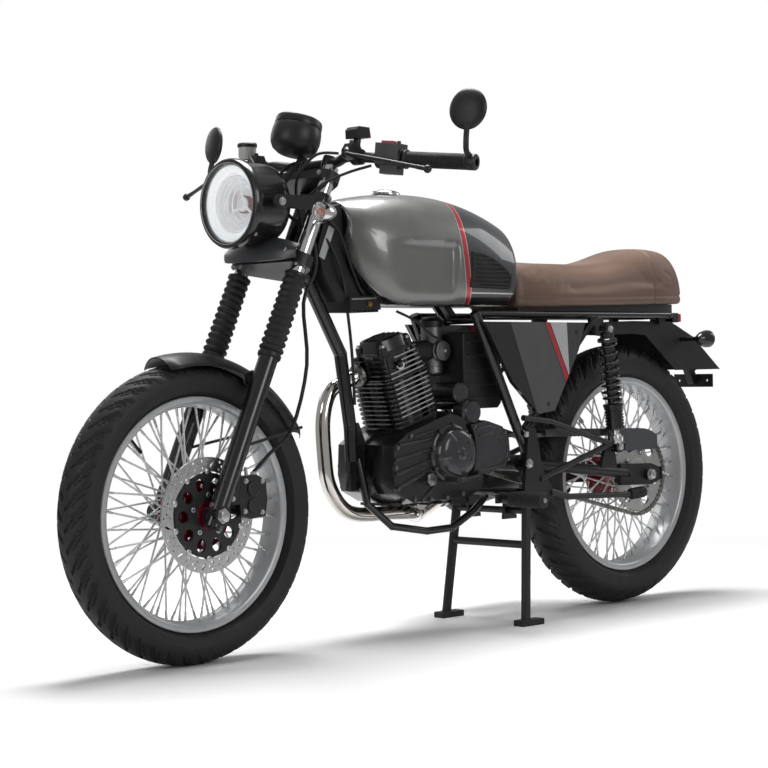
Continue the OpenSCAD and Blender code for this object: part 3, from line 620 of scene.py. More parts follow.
def bolt(spot, axis, r, tall, sides=6):
    """A hexagon head on its washer, standing on a face; spot is in place already."""
    return spun(spot, [(0.1, 0), (r * 1.35, 0), (r * 1.35, 1.2), (r, 1.3), (r, tall),
                       (r * 0.8, tall + 0.8), (0.1, tall + 0.8)], sides, axis)


LEFT = Vector((0, 1, 0))
caliper = Kit()
caliper.add(slab([(1219, 299), (1258, 296), (1285, 304), (1287, 350), (1280, 384), (1240, 386),
                  (1216, 372), (1213, 330)], 67.5, 84))
caliper.add(slab([(1217, 303), (1250, 299), (1278, 306), (1280, 346), (1274, 378), (1242, 383),
                  (1219, 368)], 38.5, 56.5))
caliper.add(slab([(1213, 318), (1226, 316), (1228, 368), (1216, 366)], 52, 70))
caliper.add(slab([(1276, 327), (1276, 384), (1321, 379), (1338, 340), (1337, 327)], 74, 83.5))
for z in (322, 357):
    caliper.add(spun(at(1251, 84, z), [(0.1, 0), (15.5, 0), (15.5, 2.6), (13.5, 4), (11, 4),
                                       (10, 3), (0.1, 3)], 40, LEFT))
for x, z in ((1228, 308), (1226, 372), (1274, 312), (1270, 374)):
    caliper.add(bolt(at(x, 84, z), LEFT, 4.4, 4), 1)
for z in (340, 371):
    caliper.add(bolt(at(1306, 83.5, z), LEFT, 5, 5), 1)
caliper.add(rod(at(1262, 76, 384), at(1264, 76, 402), 4, 3), 1)
caliper.add(rod(at(1231, 62, 374), at(1231, 62, 391), 7.5, 6.5), 1)
caliper.done("brake_caliper_cast", [satin_black, steel], "steering", "caliper_black", bevel=2.2,
             stands_for=["brake_caliper"])
hose_rubber = rubber("hose_rubber", 0.12)
repaint("brake_hose", hose_rubber)

# ---------------------------------------------------------------- fork
# Chrome inner tubes run down through a crown and a top yoke into black cast legs. Ribbed rubber
# gaiters cover the sliding part, each drawn tight by a clip at both ends.
rake_c, rake_s = turn(24.7)
fork_up = Vector((-rake_s, 0, rake_c))
fork_ahead = Vector((rake_c, 0, rake_s))


def chromed(name, tint=(0.86, 0.86, 0.87), rough=0.06):
    """Polished chrome plate with a slow change in its gloss."""
    made, tree, shader, coords = blank_material(name)
    slow = grain(tree, coords, 40)
    tree.links.new(shades(tree, slow, [c * 0.95 for c in tint], tint), shader.inputs["Base Color"])
    tree.links.new(spread(tree, slow, rough * 0.7, rough * 1.7), shader.inputs["Roughness"])
    shader.inputs["Metallic"].default_value = 1
    relief(tree, shader, grain(tree, coords, 260, 2), 0.03, 0.0002)
    return made


def on_fork(s, y=0.0, out=0.0):
    """A point s millimetres up the fork line from the axle, out millimetres ahead of it."""
    return front_axle + fork_up * (s * mm) + fork_ahead * (out * mm) + step(0, y, 0)


chrome = chromed("hard_chrome")
gaiter_rubber = rubber("gaiter_rubber", 0.18)
repaint("fork_tubes", chrome)
repaint("fork_legs", gloss_black)
repaint("steering_clamps", satin_black)
gaiters = Kit()
for side in (-1, 1):
    profile = [(17, 348), (23.5, 348), (24, 350), (24, 358), (22.5, 360)]
    for k in range(11):
        s = 362 + 15.2 * k
        swell = 26.5 - 0.2 * k
        profile += [(21.5, s), (swell - 0.8, s + 3.6), (swell, s + 6), (swell - 0.8, s + 8.4),
                    (21.5, s + 12.4)]
    profile += [(21.5, 531), (22.5, 532), (22.5, 540), (21.5, 541), (17, 541)]
    gaiters.add(spun(on_fork(0, 92 * side), profile, 64, fork_up))
    for s in (354, 536):
        ring = [(23.3, s - 3), (25.0, s - 3), (25.0, s + 3), (23.3, s + 3)]
        gaiters.add(spun(on_fork(0, 92 * side), ring, 64, fork_up), 1)
gaiters.done("fork_gaiters_ribbed", [gaiter_rubber, satin_black], "steering", "gaiter_rubber",
             crease=60, stands_for=["fork_gaiters"])

trim = Kit()
for side in (-1, 1):
    trim.add(spun(on_fork(790, 92 * side), [(0.1, 5), (9, 5), (10, 4), (10, 0), (16.4, 0),
                                            (16.4, -5), (0.1, -5)], 32, fork_up), 1)
    axis = LEFT * side
    trim.add(bolt(front_axle + step(0, 114 * side, 0), axis, 12, 7), 0)
    trim.add(spun(on_fork(16, 92 * side, 19), [(0.1, 0), (5.4, 0), (5.4, 3.4), (0.1, 3.4)], 20,
                  fork_ahead), 0)
    for s in (570, 766):
        trim.add(bolt(on_fork(s, 92 * side, 25.5), fork_ahead, 4.6, 4.5), 0)
trim.add(spun(on_fork(776, 0, -45), [(0.1, 11), (12, 11), (14, 9), (14, 0.6), (0.1, 0.6)], 6,
              fork_up), 1)
trim.done("fork_bolts", [steel, satin_black], "steering", "tube_chrome", bevel=0.4)

# ---------------------------------------------------------------- fork shroud
# A bent sheet in slate paint closes the fork below the lamp, bolted to the lower yoke.
slate_paint = painted("slate_sheet_paint", (0.045, 0.047, 0.052), 0.36, peel=0.15)
rows = []
for i in range(41):
    part = i / 20 - 1
    y = 116 * part
    out = 58 - 24 * abs(part) ** 2.6
    low = 546 + 16 * abs(part) ** 3
    high = 604 - 12 * abs(part) ** 2
    outer, inner = [[on_fork(low + (high - low) * k / 8, y, face + 7 * math.sin(math.pi * k / 8))
                     for k in range(9)] for face in (out, out - 3)]
    rows.append(outer + inner[::-1])
shroud = Kit().add(skin(rows, closed_ring=False))
for y in (-92, 92):
    shroud.add(bolt(on_fork(574, y, 47), fork_ahead, 5, 3.4), 1)
    shroud.add(rod(on_fork(574, y, 24), on_fork(574, y, 48), 5, 5, 14), 0)
shroud.done("fork_shroud", [slate_paint, steel], "steering", "clamp_black", crease=50)

# ---------------------------------------------------------------- front mudguard
# A narrow steel blade, rolled over the tyre with a turned edge, painted satin black. Two short
# stays per side hold it to the fork legs.
guard = Kit()
rows = []
for i in range(91):
    c, s = turn(76.5 + 75 * i / 90)
    tip = min(i, 90 - i) / 5
    narrow = 1 if tip >= 1 else 0.80 + 0.20 * math.sin(math.pi / 2 * tip)
    row = []
    for face in (0, 1):
        for k in range(25):
            part = (k / 12 - 1) * (1 if face == 0 else -1)
            r = 330.8 - 25 * abs(part) ** 2.4 - 3 * face
            row.append(front_axle + step(r * c, 56 * part * narrow, r * s))
    rows.append(row)
guard.add(skin(rows, closed_ring=False))
for side in (-1, 1):
    for s in (292, 316):
        guard.add(rod(on_fork(s, 53 * side), on_fork(s - 2, 72 * side), 5, 5, 14))
    guard.add(rod(on_fork(300, 53.5 * side, 0), on_fork(300, 57 * side, 0), 17, 15, 24))
    back = on_wheel(front_axle, 318, 148, 50 * side)
    guard.add(rod(back, on_fork(150, 76 * side, -10), 3.4, 3.4, 10))
guard.done("front_mudguard", satin_black, "steering", "fender_black", crease=50,
           stands_for=["front_fender"])

# ---------------------------------------------------------------- headlamp
# A round lamp with a deep black steel shell and a black rim. Behind the clear domed glass sit
# a stepped bright reflector and the shade over the bulb. Reflector and shade carry a faint
# painted glow that stands in for the light reflected in them; the frosted ring round the
# reflector glows as a lit position lamp.
lamp_z = 949
lamp_face = (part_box("headlamp")[1].x - rear_axle.x) / mm
FORWARD = Vector((1, 0, 0))


def clear_glass(name, rough=0.02, seen=0.11):
    """Thin glass: seen is the share of the surface that shows, the rest lets light through."""
    made, tree, shader, coords = blank_material(name)
    shader.inputs["Alpha"].default_value = seen
    shader.inputs["IOR"].default_value = 1.46
    slow = grain(tree, coords, 25)
    tree.links.new(shades(tree, slow, (0.97, 0.97, 0.97), (1, 1, 1)), shader.inputs["Base Color"])
    tree.links.new(spread(tree, slow, rough, rough * 2), shader.inputs["Roughness"])
    return made


lens_glass = clear_glass("lamp_glass")
# Whitish reflector finish with a faint glow, set below, that is painted light standing in for its
# reflections.
painted_glow_reflector = painted("reflector_with_painted_glow", (0.95, 0.96, 0.97), 0.16, metal=0.3, fleck=0.01,
                        peel=0.02)
frosted_ring = painted("frosted_ring", (0.95, 0.96, 0.96), 0.35, fleck=0.02, peel=0.02)
# Glow: the frosted ring is a lit position lamp; the reflector's weaker glow is painted light, not a
# lamp.
for lit, strength in ((frosted_ring, 0.5), (painted_glow_reflector, 0.14)):
    lit_shader = lit.node_tree.nodes["Principled BSDF"]
    lit_shader.inputs["Emission Color"].default_value = (0.93, 0.97, 1, 1)
    lit_shader.inputs["Emission Strength"].default_value = strength
lamp_at = at(lamp_face, 0, lamp_z)
POLISHED_PAINTED_GLOW, PLATED, RED, LIT = 1, 2, 3, 4     # places in the shell's list of finishes; 0 is black
shell = Kit()
outside = [(95, -14), (94, -19), (89.5, -23), (88, -30), (87.5, -84), (85, -98), (78, -108),
           (66, -116), (46, -121), (20, -123.5), (0.1, -123.5)]
shell.add(spun(lamp_at, [(80.5, -9), (81.5, -3), (84, -0.5), (88, 0), (92.5, -2), (94.6, -6),
                         (95, -12)] + outside + [(0.1, -118), (60, -112), (80, -90), (80.5, -12)],
               128, FORWARD), 0)
reflector = [(80, -10), (78, -12), (77, -18)]
for k in range(9):
    r = 74 - 6.2 * k
    reflector += [(r, -20 - 1.2 * k * k * 0.62), (r - 2.2, -24 - 1.2 * (k + 0.5) ** 2 * 0.62)]
reflector += [(15, -78), (0.1, -80), (0.1, -84), (20, -84), (82, -26), (82, -10)]
shell.add(spun(lamp_at, reflector, 96, FORWARD), POLISHED_PAINTED_GLOW)
shell.add(spun(lamp_at, [(0.1, -34), (10, -35), (15, -40), (16.5, -48), (14.5, -50), (12, -46),
                         (0.1, -46)], 48, FORWARD), POLISHED_PAINTED_GLOW)
shell.add(spun(lamp_at, [(17, -60), (19, -58), (19, -44), (17.4, -44)], 48, FORWARD), RED)
for k in range(3):
    c, s = turn(90 + 120 * k)
    hub_spot = lamp_at + step(-42, 14 * c, 14 * s)
    edge_spot = lamp_at + step(-32, 62 * c, 62 * s)
    shell.add(rod(hub_spot, edge_spot, 3.2, 2.4, 8), POLISHED_PAINTED_GLOW)
shell.add(spun(lamp_at, [(79.6, -11), (79.6, -17), (66, -22), (64.6, -18), (66, -15.6),
                         (72, -12)], 96, FORWARD), LIT)
dome = [(80.4, -8)] + [(80.4 * math.sin(math.radians(a)), -8 + 11 * (turn(a)[0] ** 0.8))
                       for a in range(80, 0, -10)] + [(0.1, 3)]
dome_back = [(r * 0.985, h - 2.6) for r, h in reversed(dome)]
lens_kit = Kit().add(spun(lamp_at, dome + dome_back, 96, FORWARD))
shell.add(spun(lamp_at, [(84.2, 0.2), (84.2, 1.4), (86.2, 1.4), (86.2, 0.2)], 96, FORWARD), PLATED)
for side in (-1, 1):
    ear = [(lamp_face - 48, lamp_z - 13), (lamp_face - 36, lamp_z), (lamp_face - 48, lamp_z + 13),
           (lamp_face - 150, lamp_z + 17), (lamp_face - 172, lamp_z + 24),
           (lamp_face - 172, lamp_z - 22), (lamp_face - 150, lamp_z - 16)]
    shell.add(slab(ear, 103.4 * side, 106.8 * side), 0)
    shell.add(rod(at(lamp_face - 60, 84 * side, lamp_z), at(lamp_face - 60, 103 * side, lamp_z),
                  11, 10, 24), 0)
    shell.add(bolt(at(lamp_face - 60, 107 * side, lamp_z), LEFT * side, 7, 5), PLATED)
    spot = on_fork((lamp_z - 309) / rake_c - 6, 92 * side)
    sleeve = [(17, -26), (21.4, -26), (22.2, -24), (22.2, 24), (21.4, 26), (17, 26)]
    shell.add(spun(spot, sleeve, 48, fork_up), 0)
    shell.add(bolt(at(lamp_face - 26, 0, lamp_z) + step(0, 60 * side, -66),
                   Vector((0, side * 0.7, -0.7)), 3.4, 3), PLATED)
shell.done("headlamp_shell", [gloss_black, painted_glow_reflector, steel, dark_red, frosted_ring],
           "steering", "lamp_black", crease=32, stands_for=["headlamp"], bevel=0.5)
lens_kit.done("headlamp_lens", lens_glass, "steering", "lamp_black", crease=50)

# ---------------------------------------------------------------- speedometer
# One round instrument in a deep black cup with a thin bezel, leaning back towards the rider.
# Its dial is plain with printed ticks and one needle, under flat glass.
tilt_c, tilt_s = turn(18)
dial_up = Vector((-tilt_s, 0, tilt_c))
head_base = front_axle - fork_ahead * (45 * mm)      # the steering axis at the axle's height
cup_foot = head_base + fork_up * (809.3 * mm) + fork_ahead * (86 * mm)
black_plastic = painted("moulded_black_plastic", (0.012, 0.012, 0.013), 0.38, peel=0.3,
                        orange_peel=800)
dial_white = painted("printed_white", (0.8, 0.8, 0.78), 0.5)
cup = Kit()
cup.add(spun(cup_foot, [(0.1, 0), (24, 0.4), (36, 3), (46, 10), (51.5, 20), (54, 32), (54, 44),
                        (52.8, 56), (51.2, 60.4), (50, 60.8), (50, 62), (51.4, 62.6), (51.6, 66),
                        (50.6, 76), (49, 79), (47, 80), (44.5, 79), (44, 74), (0.1, 74)], 96,
                dial_up), 0)
cup.add(spun(cup_foot, [(0.1, 74.2), (43.8, 74.2), (43.8, 74.8), (0.1, 74.8)], 64, dial_up), 1)
side_way = LEFT.cross(dial_up)
for k in range(31):
    c, s = turn(-135 + 9 * k)
    spoke = side_way * c + LEFT * s
    low_r = 33 if k % 5 == 0 else 37
    spot = cup_foot + dial_up * (75.1 * mm)
    cup.add(rod(spot + spoke * (low_r * mm), spot + spoke * (41 * mm),
                0.9 if k % 5 == 0 else 0.5, None, 6), 2)
spot = cup_foot + dial_up * (76.4 * mm)
cup.add(rod(spot - side_way * (6 * mm), spot + (side_way * 0.5 + LEFT * 0.86) * (34 * mm),
            1.6, 0.4, 8), 3)
cup.add(rod(cup_foot + dial_up * (75 * mm), cup_foot + dial_up * (78 * mm), 4.5, 4, 20), 0)
stalk_foot = head_base + fork_up * (776.3 * mm) + fork_ahead * (58 * mm)
cup.add(rod(stalk_foot, stalk_foot + fork_up * (40 * mm), 9, 9, 24), 0)
cup.add(spun(stalk_foot, [(9, 0.4), (14, 0.6), (14, 5), (9, 6)], 24, fork_up), 0)
cup.done("speedometer_cup", [black_plastic, satin_black, dial_white, dark_red], "steering",
         "gauge_black", stands_for=["speedometer"])
flat_glass = spun(cup_foot, [(0.1, 78.4), (44, 78.4), (44, 77.4), (0.1, 77.4)], 64, dial_up)
Kit().add(flat_glass).done("speedometer_glass", lens_glass, "steering", "gauge_black")

# ---------------------------------------------------------------- fuel tank
# A pressed and seam welded steel tank in metallic warm grey lacquer under clear coat. Knee
# recesses are pressed into both sides; a red stripe parts the grey from the slate rear.
tank_rear, tank_nose, tank_low, tank_high = 446, 946, 737, 988
tank_half, fullest = 124, 0.6       # at its fullest, and where along the tank that is
rear_fall, nose_fall, nose_rise = 66, 22, 170
waist_share = 0.42                  # how far up the tank its sides stand out furthest
belly_angle = 64                    # how far down round the section the flat bottom begins


def tank_frame(x):
    """Half width, top and bottom of the tank at one place along it."""
    t = (x - tank_rear) / (tank_nose - tank_rear)
    w = tank_half * math.sqrt(1 - (abs(t - fullest) / (0.44 if t > fullest else 0.92)) ** 2.6)
    top = (tank_high - rear_fall * (max(0, fullest - t) / fullest) ** 2.2
           - nose_fall * (max(0, t - fullest) / 0.4) ** 2)
    rise = nose_rise * (1 - math.sqrt(1 - (0.985 * max(0, t - 0.7) / 0.3) ** 2))
    return w, top, tank_low + rise


def ease(value):
    """Goes softly from 0 to 1."""
    value = max(0, min(1, value))
    return value * value * (3 - 2 * value)


def knee_recess(x, z):
    """How deep the side is pressed in: a crest above, a sharp rear edge, a slow run out ahead."""
    deepest = 13
    crest = 878 + 0.03 * (x - 660)
    band = ease((crest - z) / 15) * ease((z - 748) / 60)
    return deepest * band * ease((886 - x) / 90) * ease((x - 663) / 16)


def tank_side(x, z):
    """How far out the tank's side stands at a place and height."""
    w, top, low = tank_frame(x)
    waist = low + waist_share * (top - low)
    if z > waist:
        a = math.asin(min(1, (z - waist) / (top - waist)))
        return w * max(0, math.cos(a)) ** 0.85 - knee_recess(x, z)
    a = math.asin(max(-1, (z - waist) / (waist - low) * turn(belly_angle)[1]))
    return w * math.cos(a) ** 0.45 - knee_recess(x, z)


def banded(tree, value, low, high, stops):
    """Bands of colour with hard edges: stops are (value, colour), the lowest band first."""
    span = node(tree, "MapRange", {"Value": value, "From Min": low, "From Max": high})
    ramp = node(tree, "ValToRGB", {"Fac": span.outputs["Result"]})
    ramp.color_ramp.interpolation = "CONSTANT"
    ramp.color_ramp.elements[0].color = (*stops[0][1], 1)
    ramp.color_ramp.elements.remove(ramp.color_ramp.elements[1])
    for edge, colour in stops[1:]:
        ramp.color_ramp.elements.new((edge - low) / (high - low)).color = (*colour, 1)
    return ramp.outputs["Color"]


def calc(tree, kind, a, b):
    """One sum in a material's nodes."""
    return node(tree, "Math", {0: a, 1: b}, operation=kind).outputs[0]


def blended(tree, factor, a, b, kind="MIX"):
    """Colour a runs into colour b with the factor."""
    return node(tree, "Mix", {"Factor": factor, 6: a, 7: b}, data_type="RGBA",
                blend_type=kind).outputs[2]


warm_grey = (0.215, 0.213, 0.208)
slate = (0.05, 0.053, 0.058)
stripe_red = (0.52, 0.03, 0.045)
line_silver = (0.62, 0.62, 0.6)
pitch_black = (0.01, 0.01, 0.011)


def lacquer(name, build):
    """Metallic flake under clear coat; build makes the colours from the place on the piece."""
    made, tree, shader, coords = blank_material(name)
    axes = node(tree, "SeparateXYZ", {0: coords})
    tint = build(tree, axes.outputs["X"], axes.outputs["Z"])
    flake = node(tree, "TexVoronoi", {"Vector": coords, "Scale": 2600})
    sparkle = shades(tree, flake.outputs["Distance"], (1.15, 1.15, 1.15), (0.86, 0.86, 0.86), 0, 1)
    tree.links.new(blended(tree, 1, tint, sparkle, "MULTIPLY"), shader.inputs["Base Color"])
    tree.links.new(spread(tree, grain(tree, coords, 30), 0.3, 0.42), shader.inputs["Roughness"])
    shader.inputs["Metallic"].default_value = 0.6
    shader.inputs["Coat Weight"].default_value = 1
    shader.inputs["Coat Roughness"].default_value = 0.04
    relief(tree, shader, grain(tree, coords, 600, 2), 0.02, 0.0002)
    return made


def tank_colours(tree, x, z):
    """Grey ahead of the slanting red stripe, slate and black behind it."""
    from_crest = calc(tree, "SUBTRACT", z, 0.885)
    bend = calc(tree, "MULTIPLY", calc(tree, "MULTIPLY", from_crest, from_crest), 1.6)
    across = calc(tree, "ADD", calc(tree, "SUBTRACT", x, rear_axle.x + 0.650), bend)
    stripe = banded(tree, across, -0.04, 0.04, [
        (0, line_silver), (-0.0075, stripe_red), (0.0075, line_silver), (0.0095, pitch_black),
        (0.011, warm_grey)])
    ahead = banded(tree, across, -0.04, 0.04, [(0, (0, 0, 0)), (-0.0095, (1, 1, 1))])
    rear = banded(tree, z, 0.72, 0.78, [
        (0, pitch_black), (0.7635, line_silver), (0.7665, slate)])
    return blended(tree, ahead, rear, stripe)


tank_paint = lacquer("tank_lacquer", tank_colours)
seam_bright = painted("bright_seam", (0.5, 0.49, 0.47), 0.25, metal=0.9, coat=0.6)
angles = [-64, -61] + [-60 + 4 * k for k in range(1, 15)] + [3 * k for k in range(30)]
stations = [tank_rear + 1.2 * k for k in range(14)]
stations += [tank_rear + 17 + (tank_nose - tank_rear - 23) * k / 150 for k in range(150)]
stations += [tank_nose - 5, tank_nose - 3, tank_nose - 1.2, tank_nose]
rows = []
for x in stations:
    w, top, low = tank_frame(x)
    waist = low + waist_share * (top - low)
    inset = 0
    for room_left, corner in ((x - tank_rear, 24), (tank_nose - x, 5)):
        if room_left < corner:
            inset = corner - math.sqrt(corner ** 2 - (corner - room_left) ** 2)
    half = []
    for a in angles:
        c, s = turn(a)
        z = waist + ((top - waist) * s if a > 0 else (waist - low) * s / turn(belly_angle)[1])
        half.append((tank_side(x, min(z, top - 1e-6)), z))
    middle = (top + low) / 2
    tall = (top - low) / 2
    fit = [(y * (w - inset) / w, middle + (z - middle) * (tall - inset) / tall) for y, z in half]
    crown = (0, middle + tall - inset)
    rows.append([at(x, y, z) for y, z in fit] + [at(x, *crown)]
                + [at(x, -y, z) for y, z in reversed(fit)])
m, last = len(rows[0]), len(rows) - 1
marks = []
for i in range(last):
    for k in range(m):
        seam = k in (0, m - 2) or i > last - 4
        marks.append(2 if k == m - 1 else (1 if seam else 0))
marks += [0, 2]
shape("fuel_tank_shell", *skin(rows, closed_ring=False), [tank_paint, seam_bright, gloss_black],
      "frame", "tank_grey", crease=45, marks=marks, stands_for=["fuel_tank"])

# ---------------------------------------------------------------- knee pads
# Moulded black rubber pads are glued into the rear of both knee recesses. Flat ribs run along
# them inside a plain border.
pads = Kit()
for side in (-1, 1):
    rows = []
    for j in range(73):
        v = j / 72
        row = []
        for i in range(49):
            u = i / 48
            back, front = 484, 630
            x = back + (front - back) * u
            behind = (front - x) / (front - back)
            low, high = 777 - 3 * behind, 861 - 54 * behind ** 1.9
            z = low + (high - low) * v
            near = min(u * (front - back), (1 - u) * (front - back), v * (high - low),
                       (1 - v) * (high - low))
            groove = 2.4 if near > 7 and (z % 9.4) < 4.2 else 0
            rise = 5.0 * ease(near / 3.0) - groove
            row.append(at(x, side * (tank_side(x, z) - 0.6 + rise), z))
        rows.append(row)
    pads.add(skin(rows, closed_rows=False, closed_ring=False))
pads.done("knee_pads", rubber("pad_rubber", 0.1), "frame", "seat_leather", crease=50)

# ---------------------------------------------------------------- filler cap
# A low hinged filler cap of polished steel, with a black ring around it and a lid over the lock.
cap_z = tank_frame(778)[1] - 4
cap = Kit()
cap.add(spun(at(778, 0, cap_z), [(0.1, 0), (31, 0), (33, 2), (33, 6), (31.5, 8), (27, 9.4),
                                 (25.5, 11), (23, 12), (0.1, 12.8)], 72, Vector((-0.08, 0, 1))))
cap.add(spun(at(778, 0, cap_z), [(27.6, 9.2), (30, 8.8), (30.6, 9.4), (28, 10)], 72,
             Vector((-0.08, 0, 1))), 1)
cap.add(rod(at(777, 0, cap_z + 12), at(776.6, 0, cap_z + 15), 9, 8, 28), 1)
cap.add(rod(at(806, 0, cap_z + 3), at(804.6, 0, cap_z + 12), 5, 4, 16), 0)
cap.done("filler_cap", [chrome, satin_black], "frame", "chrome_trim", bevel=0.5,
         stands_for=["tank_cap"])

# ---------------------------------------------------------------- seat
# Foam on a steel pan under brown leather, stuffed tight. The sections are sewn with sunk seams
# across the hump and along the lower edge, where the cover is drawn round the pan.
seat_rear, seat_front = -212, 440


def seat_frame(x):
    """Half width, top and lower edge of the seat at one place along it."""
    top = (838 + 8 * (max(0, x - 330) / 110) ** 2 + 9 * math.exp(-((x + 60) / 90) ** 2)
           + 20 * (1 - math.cos(math.radians(min(180, max(0, (200 - x) * 0.6)))))
           - 132 * (max(0, -105 - x) / 107) ** 2.2)
    w = 112 * math.sqrt(1 - (max(0, -60 - x) / 165) ** 2.3) * (
        1 - 0.24 * (max(0, x - 250) / 190) ** 2)
    return w, top, 733 + 14 * (seat_front - x) / (seat_front - seat_rear)


def leather(name):
    """Brown leather with pores and slow changes in colour and gloss."""
    made, tree, shader, coords = blank_material(name)
    slow = grain(tree, coords, 7)
    tree.links.new(shades(tree, slow, (0.155, 0.093, 0.066), (0.21, 0.132, 0.098)),
                   shader.inputs["Base Color"])
    tree.links.new(spread(tree, slow, 0.4, 0.52), shader.inputs["Roughness"])
    pores = node(tree, "TexVoronoi", {"Vector": coords, "Scale": 420})
    relief(tree, shader, pores.outputs["Distance"], 0.16, 0.0006)
    return made


seat_leather = leather("brown_leather")
rows = []
for i in range(111):
    x = seat_rear + 3 + (seat_front - seat_rear - 6) * i / 110
    w, top, low = seat_frame(x)
    ends = min(1, (x - seat_rear) / 26, (seat_front - x) / 22)
    pinch = 1 - 0.16 * (1 - math.sqrt(1 - (1 - ends) ** 2)) if ends < 1 else 1
    tall = (top - low - 11) * (1 - 1.1 * (1 - pinch))
    row = [at(x, -w * pinch + 9, low + 1), at(x, w * pinch - 9, low + 1)]
    for k in range(37):
        c, s = turn(5 * k)
        y = (w - 2.5) * pinch * math.copysign(abs(c) ** 0.56, c)
        row.append(at(x, y, low + 8 + tall * s ** 0.48))
    rows.append(row)
cover = shape("seat_cover", *skin(rows, closed_ring=False), seat_leather, "frame",
              "seat_leather", crease=180)


def settle(piece, voxel, pressure, held, limit):
    """Blows the cover up as cloth while held(corner) keeps the lower edge on the pan."""
    remesh = piece.modifiers.new("even_skin", "REMESH")
    remesh.mode = "VOXEL"
    remesh.voxel_size = voxel
    dg = bpy.context.evaluated_depsgraph_get()
    even = bpy.data.meshes.new_from_object(piece.evaluated_get(dg))
    piece.modifiers.clear()
    old, piece.data = piece.data, even
    even.materials.clear()
    even.materials.append(old.materials[0])
    start = [v.co.copy() for v in even.vertices]
    group = piece.vertex_groups.new(name="held")
    group.add([k for k, co in enumerate(start) if held(co)], 1.0, "REPLACE")
    cloth = piece.modifiers.new("stuffing", "CLOTH")
    for setting, value in {
            "quality": 6, "mass": 0.3, "tension_stiffness": 40, "compression_stiffness": 40,
            "bending_stiffness": 3, "use_pressure": True, "uniform_pressure_force": pressure,
            "vertex_group_mass": "held"}.items():
        setattr(cloth.settings, setting, value)
    cloth.settings.effector_weights.gravity = 0
    cloth.collision_settings.use_self_collision = False
    cloth.point_cache.frame_start, cloth.point_cache.frame_end = 1, 20
    for number in range(1, 21):
        scene.frame_set(number)
    dg = bpy.context.evaluated_depsgraph_get()
    blown = bpy.data.meshes.new_from_object(piece.evaluated_get(dg))
    moved = [v.co.copy() for v in blown.vertices]
    piece.modifiers.clear()
    scene.frame_set(1)
    bpy.data.meshes.remove(blown)
    for vert, was, now in zip(even.vertices, start, moved):
        way = now - was
        if way.length > limit:
            way *= limit / way.length
        vert.co = was + way


def sewn(piece, lines, depth, width):
    """One subdivision, then channels sunk along lines; each line gives a distance in metres."""
    finer = piece.modifiers.new("finer", "SUBSURF")
    finer.levels = finer.render_levels = 1
    dg = bpy.context.evaluated_depsgraph_get()
    dense = bpy.data.meshes.new_from_object(piece.evaluated_get(dg))
    piece.modifiers.clear()
    piece.data = dense
    dense.update()
    normals = [v.normal.copy() for v in dense.vertices]
    for vert, normal in zip(dense.vertices, normals):
        sink = max(math.exp(-(line(vert.co) / width) ** 2) for line in lines)
        vert.co -= normal * (depth * sink)
    dense.shade_smooth()


settle(cover, 0.0055, 4.0, lambda co: co.z < 0.752 + 0.00002 * (seat_front - 1000 * co.x), 0.007)


def hump_seam(co):
    """How far a corner is from the seam ahead of the hump, which bows back in the middle."""
    x = (co.x - rear_axle.x) / mm
    bow = -52 + 14 * (co.y / 0.112) ** 2
    return (x - bow) * mm


def hem_seam(co):
    """How far a corner is from the seam along the lower edge."""
    x = (co.x - rear_axle.x) / mm
    return co.z - (seat_frame(max(seat_rear, min(seat_front, x)))[2] + 21) * mm


sewn(cover, [hump_seam, hem_seam], 0.0026, 0.0035)
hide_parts("seat")

# The black pan under the cover: a moulded plate drawn in a little from the cover's edge.
near_side = [(428, 76), (330, 88), (-96, 90), (-142, 80), (-168, 60), (-182, 32), (-186, 0)]
pan_edge = near_side + [(x, -y) for x, y in reversed(near_side[:-1])]
pan = Kit().add(pierced(pan_edge, [], 725, 745, at))
pan.done("seat_pan", black_plastic, "frame", "seat_leather", bevel=3)

# ---------------------------------------------------------------- side covers
# Moulded covers close the triangle under the seat on both sides. They are lacquered gloss black
# ahead and warm grey behind, with a red line, a silver wedge and a slate corner.
def cover_colours(tree, x, z):
    """Slanting bands of colour, each from a line with its foot and its slope."""
    def line(x_top, slope):
        run = calc(tree, "MULTIPLY", calc(tree, "SUBTRACT", 0.704, z), slope)
        return calc(tree, "ADD", calc(tree, "SUBTRACT", x, rear_axle.x + x_top), run)
    grey = (0.10, 0.10, 0.098)
    back = banded(tree, line(0.389, 0.507), -0.08, 0.08, [
        (0, (0.62, 0.62, 0.63)), (-0.011, pitch_black), (-0.0075, stripe_red),
        (0.0075, pitch_black), (0.010, grey)])
    corner = banded(tree, line(0.316, 0.053), -0.08, 0.08, [(0, (1, 1, 1)), (0.001, (0, 0, 0))])
    black = banded(tree, line(0.512, 0.407), -0.08, 0.08, [(0, (0, 0, 0)), (0.001, (1, 1, 1))])
    lower = blended(tree, corner, back, (*slate, 1))
    return blended(tree, black, lower, (*pitch_black, 1))


cover_lacquer = lacquer("side_cover_lacquer", cover_colours)
panels = Kit()
for side in (-1, 1):
    panels.add(slab([(600, 700), (250, 698), (276, 632), (364, 492), (420, 486), (506, 560)],
                    117.2 * side, 128.6 * side))
    for x, z in ((560, 672), (282, 676), (386, 508)):
        panels.add(bolt(at(x, 127.6 * side, z), LEFT * side, 4, 1.2, 24), 1)
panels.done("side_covers", [cover_lacquer, satin_black], "frame", "panel_grey", bevel=4.5,
            stands_for=["side_panels"])

# ---------------------------------------------------------------- handlebar
# A low bent steel bar in satin black, held in two risers on the top yoke by caps with bolts.
def rounded_way(points, cut=0.35, steps=6):
    """Straight runs with each corner rounded off over a share of its shorter side."""
    fine = [points[0]]
    for a, b, c in zip(points, points[1:], points[2:]):
        reach = cut * min((b - a).length, (c - b).length)
        start, stop = b + (a - b).normalized() * reach, b + (c - b).normalized() * reach
        for k in range(steps + 1):
            t = k / steps
            fine.append(start * (1 - t) ** 2 + b * (2 * t * (1 - t)) + stop * t ** 2)
    return fine + [points[-1]]


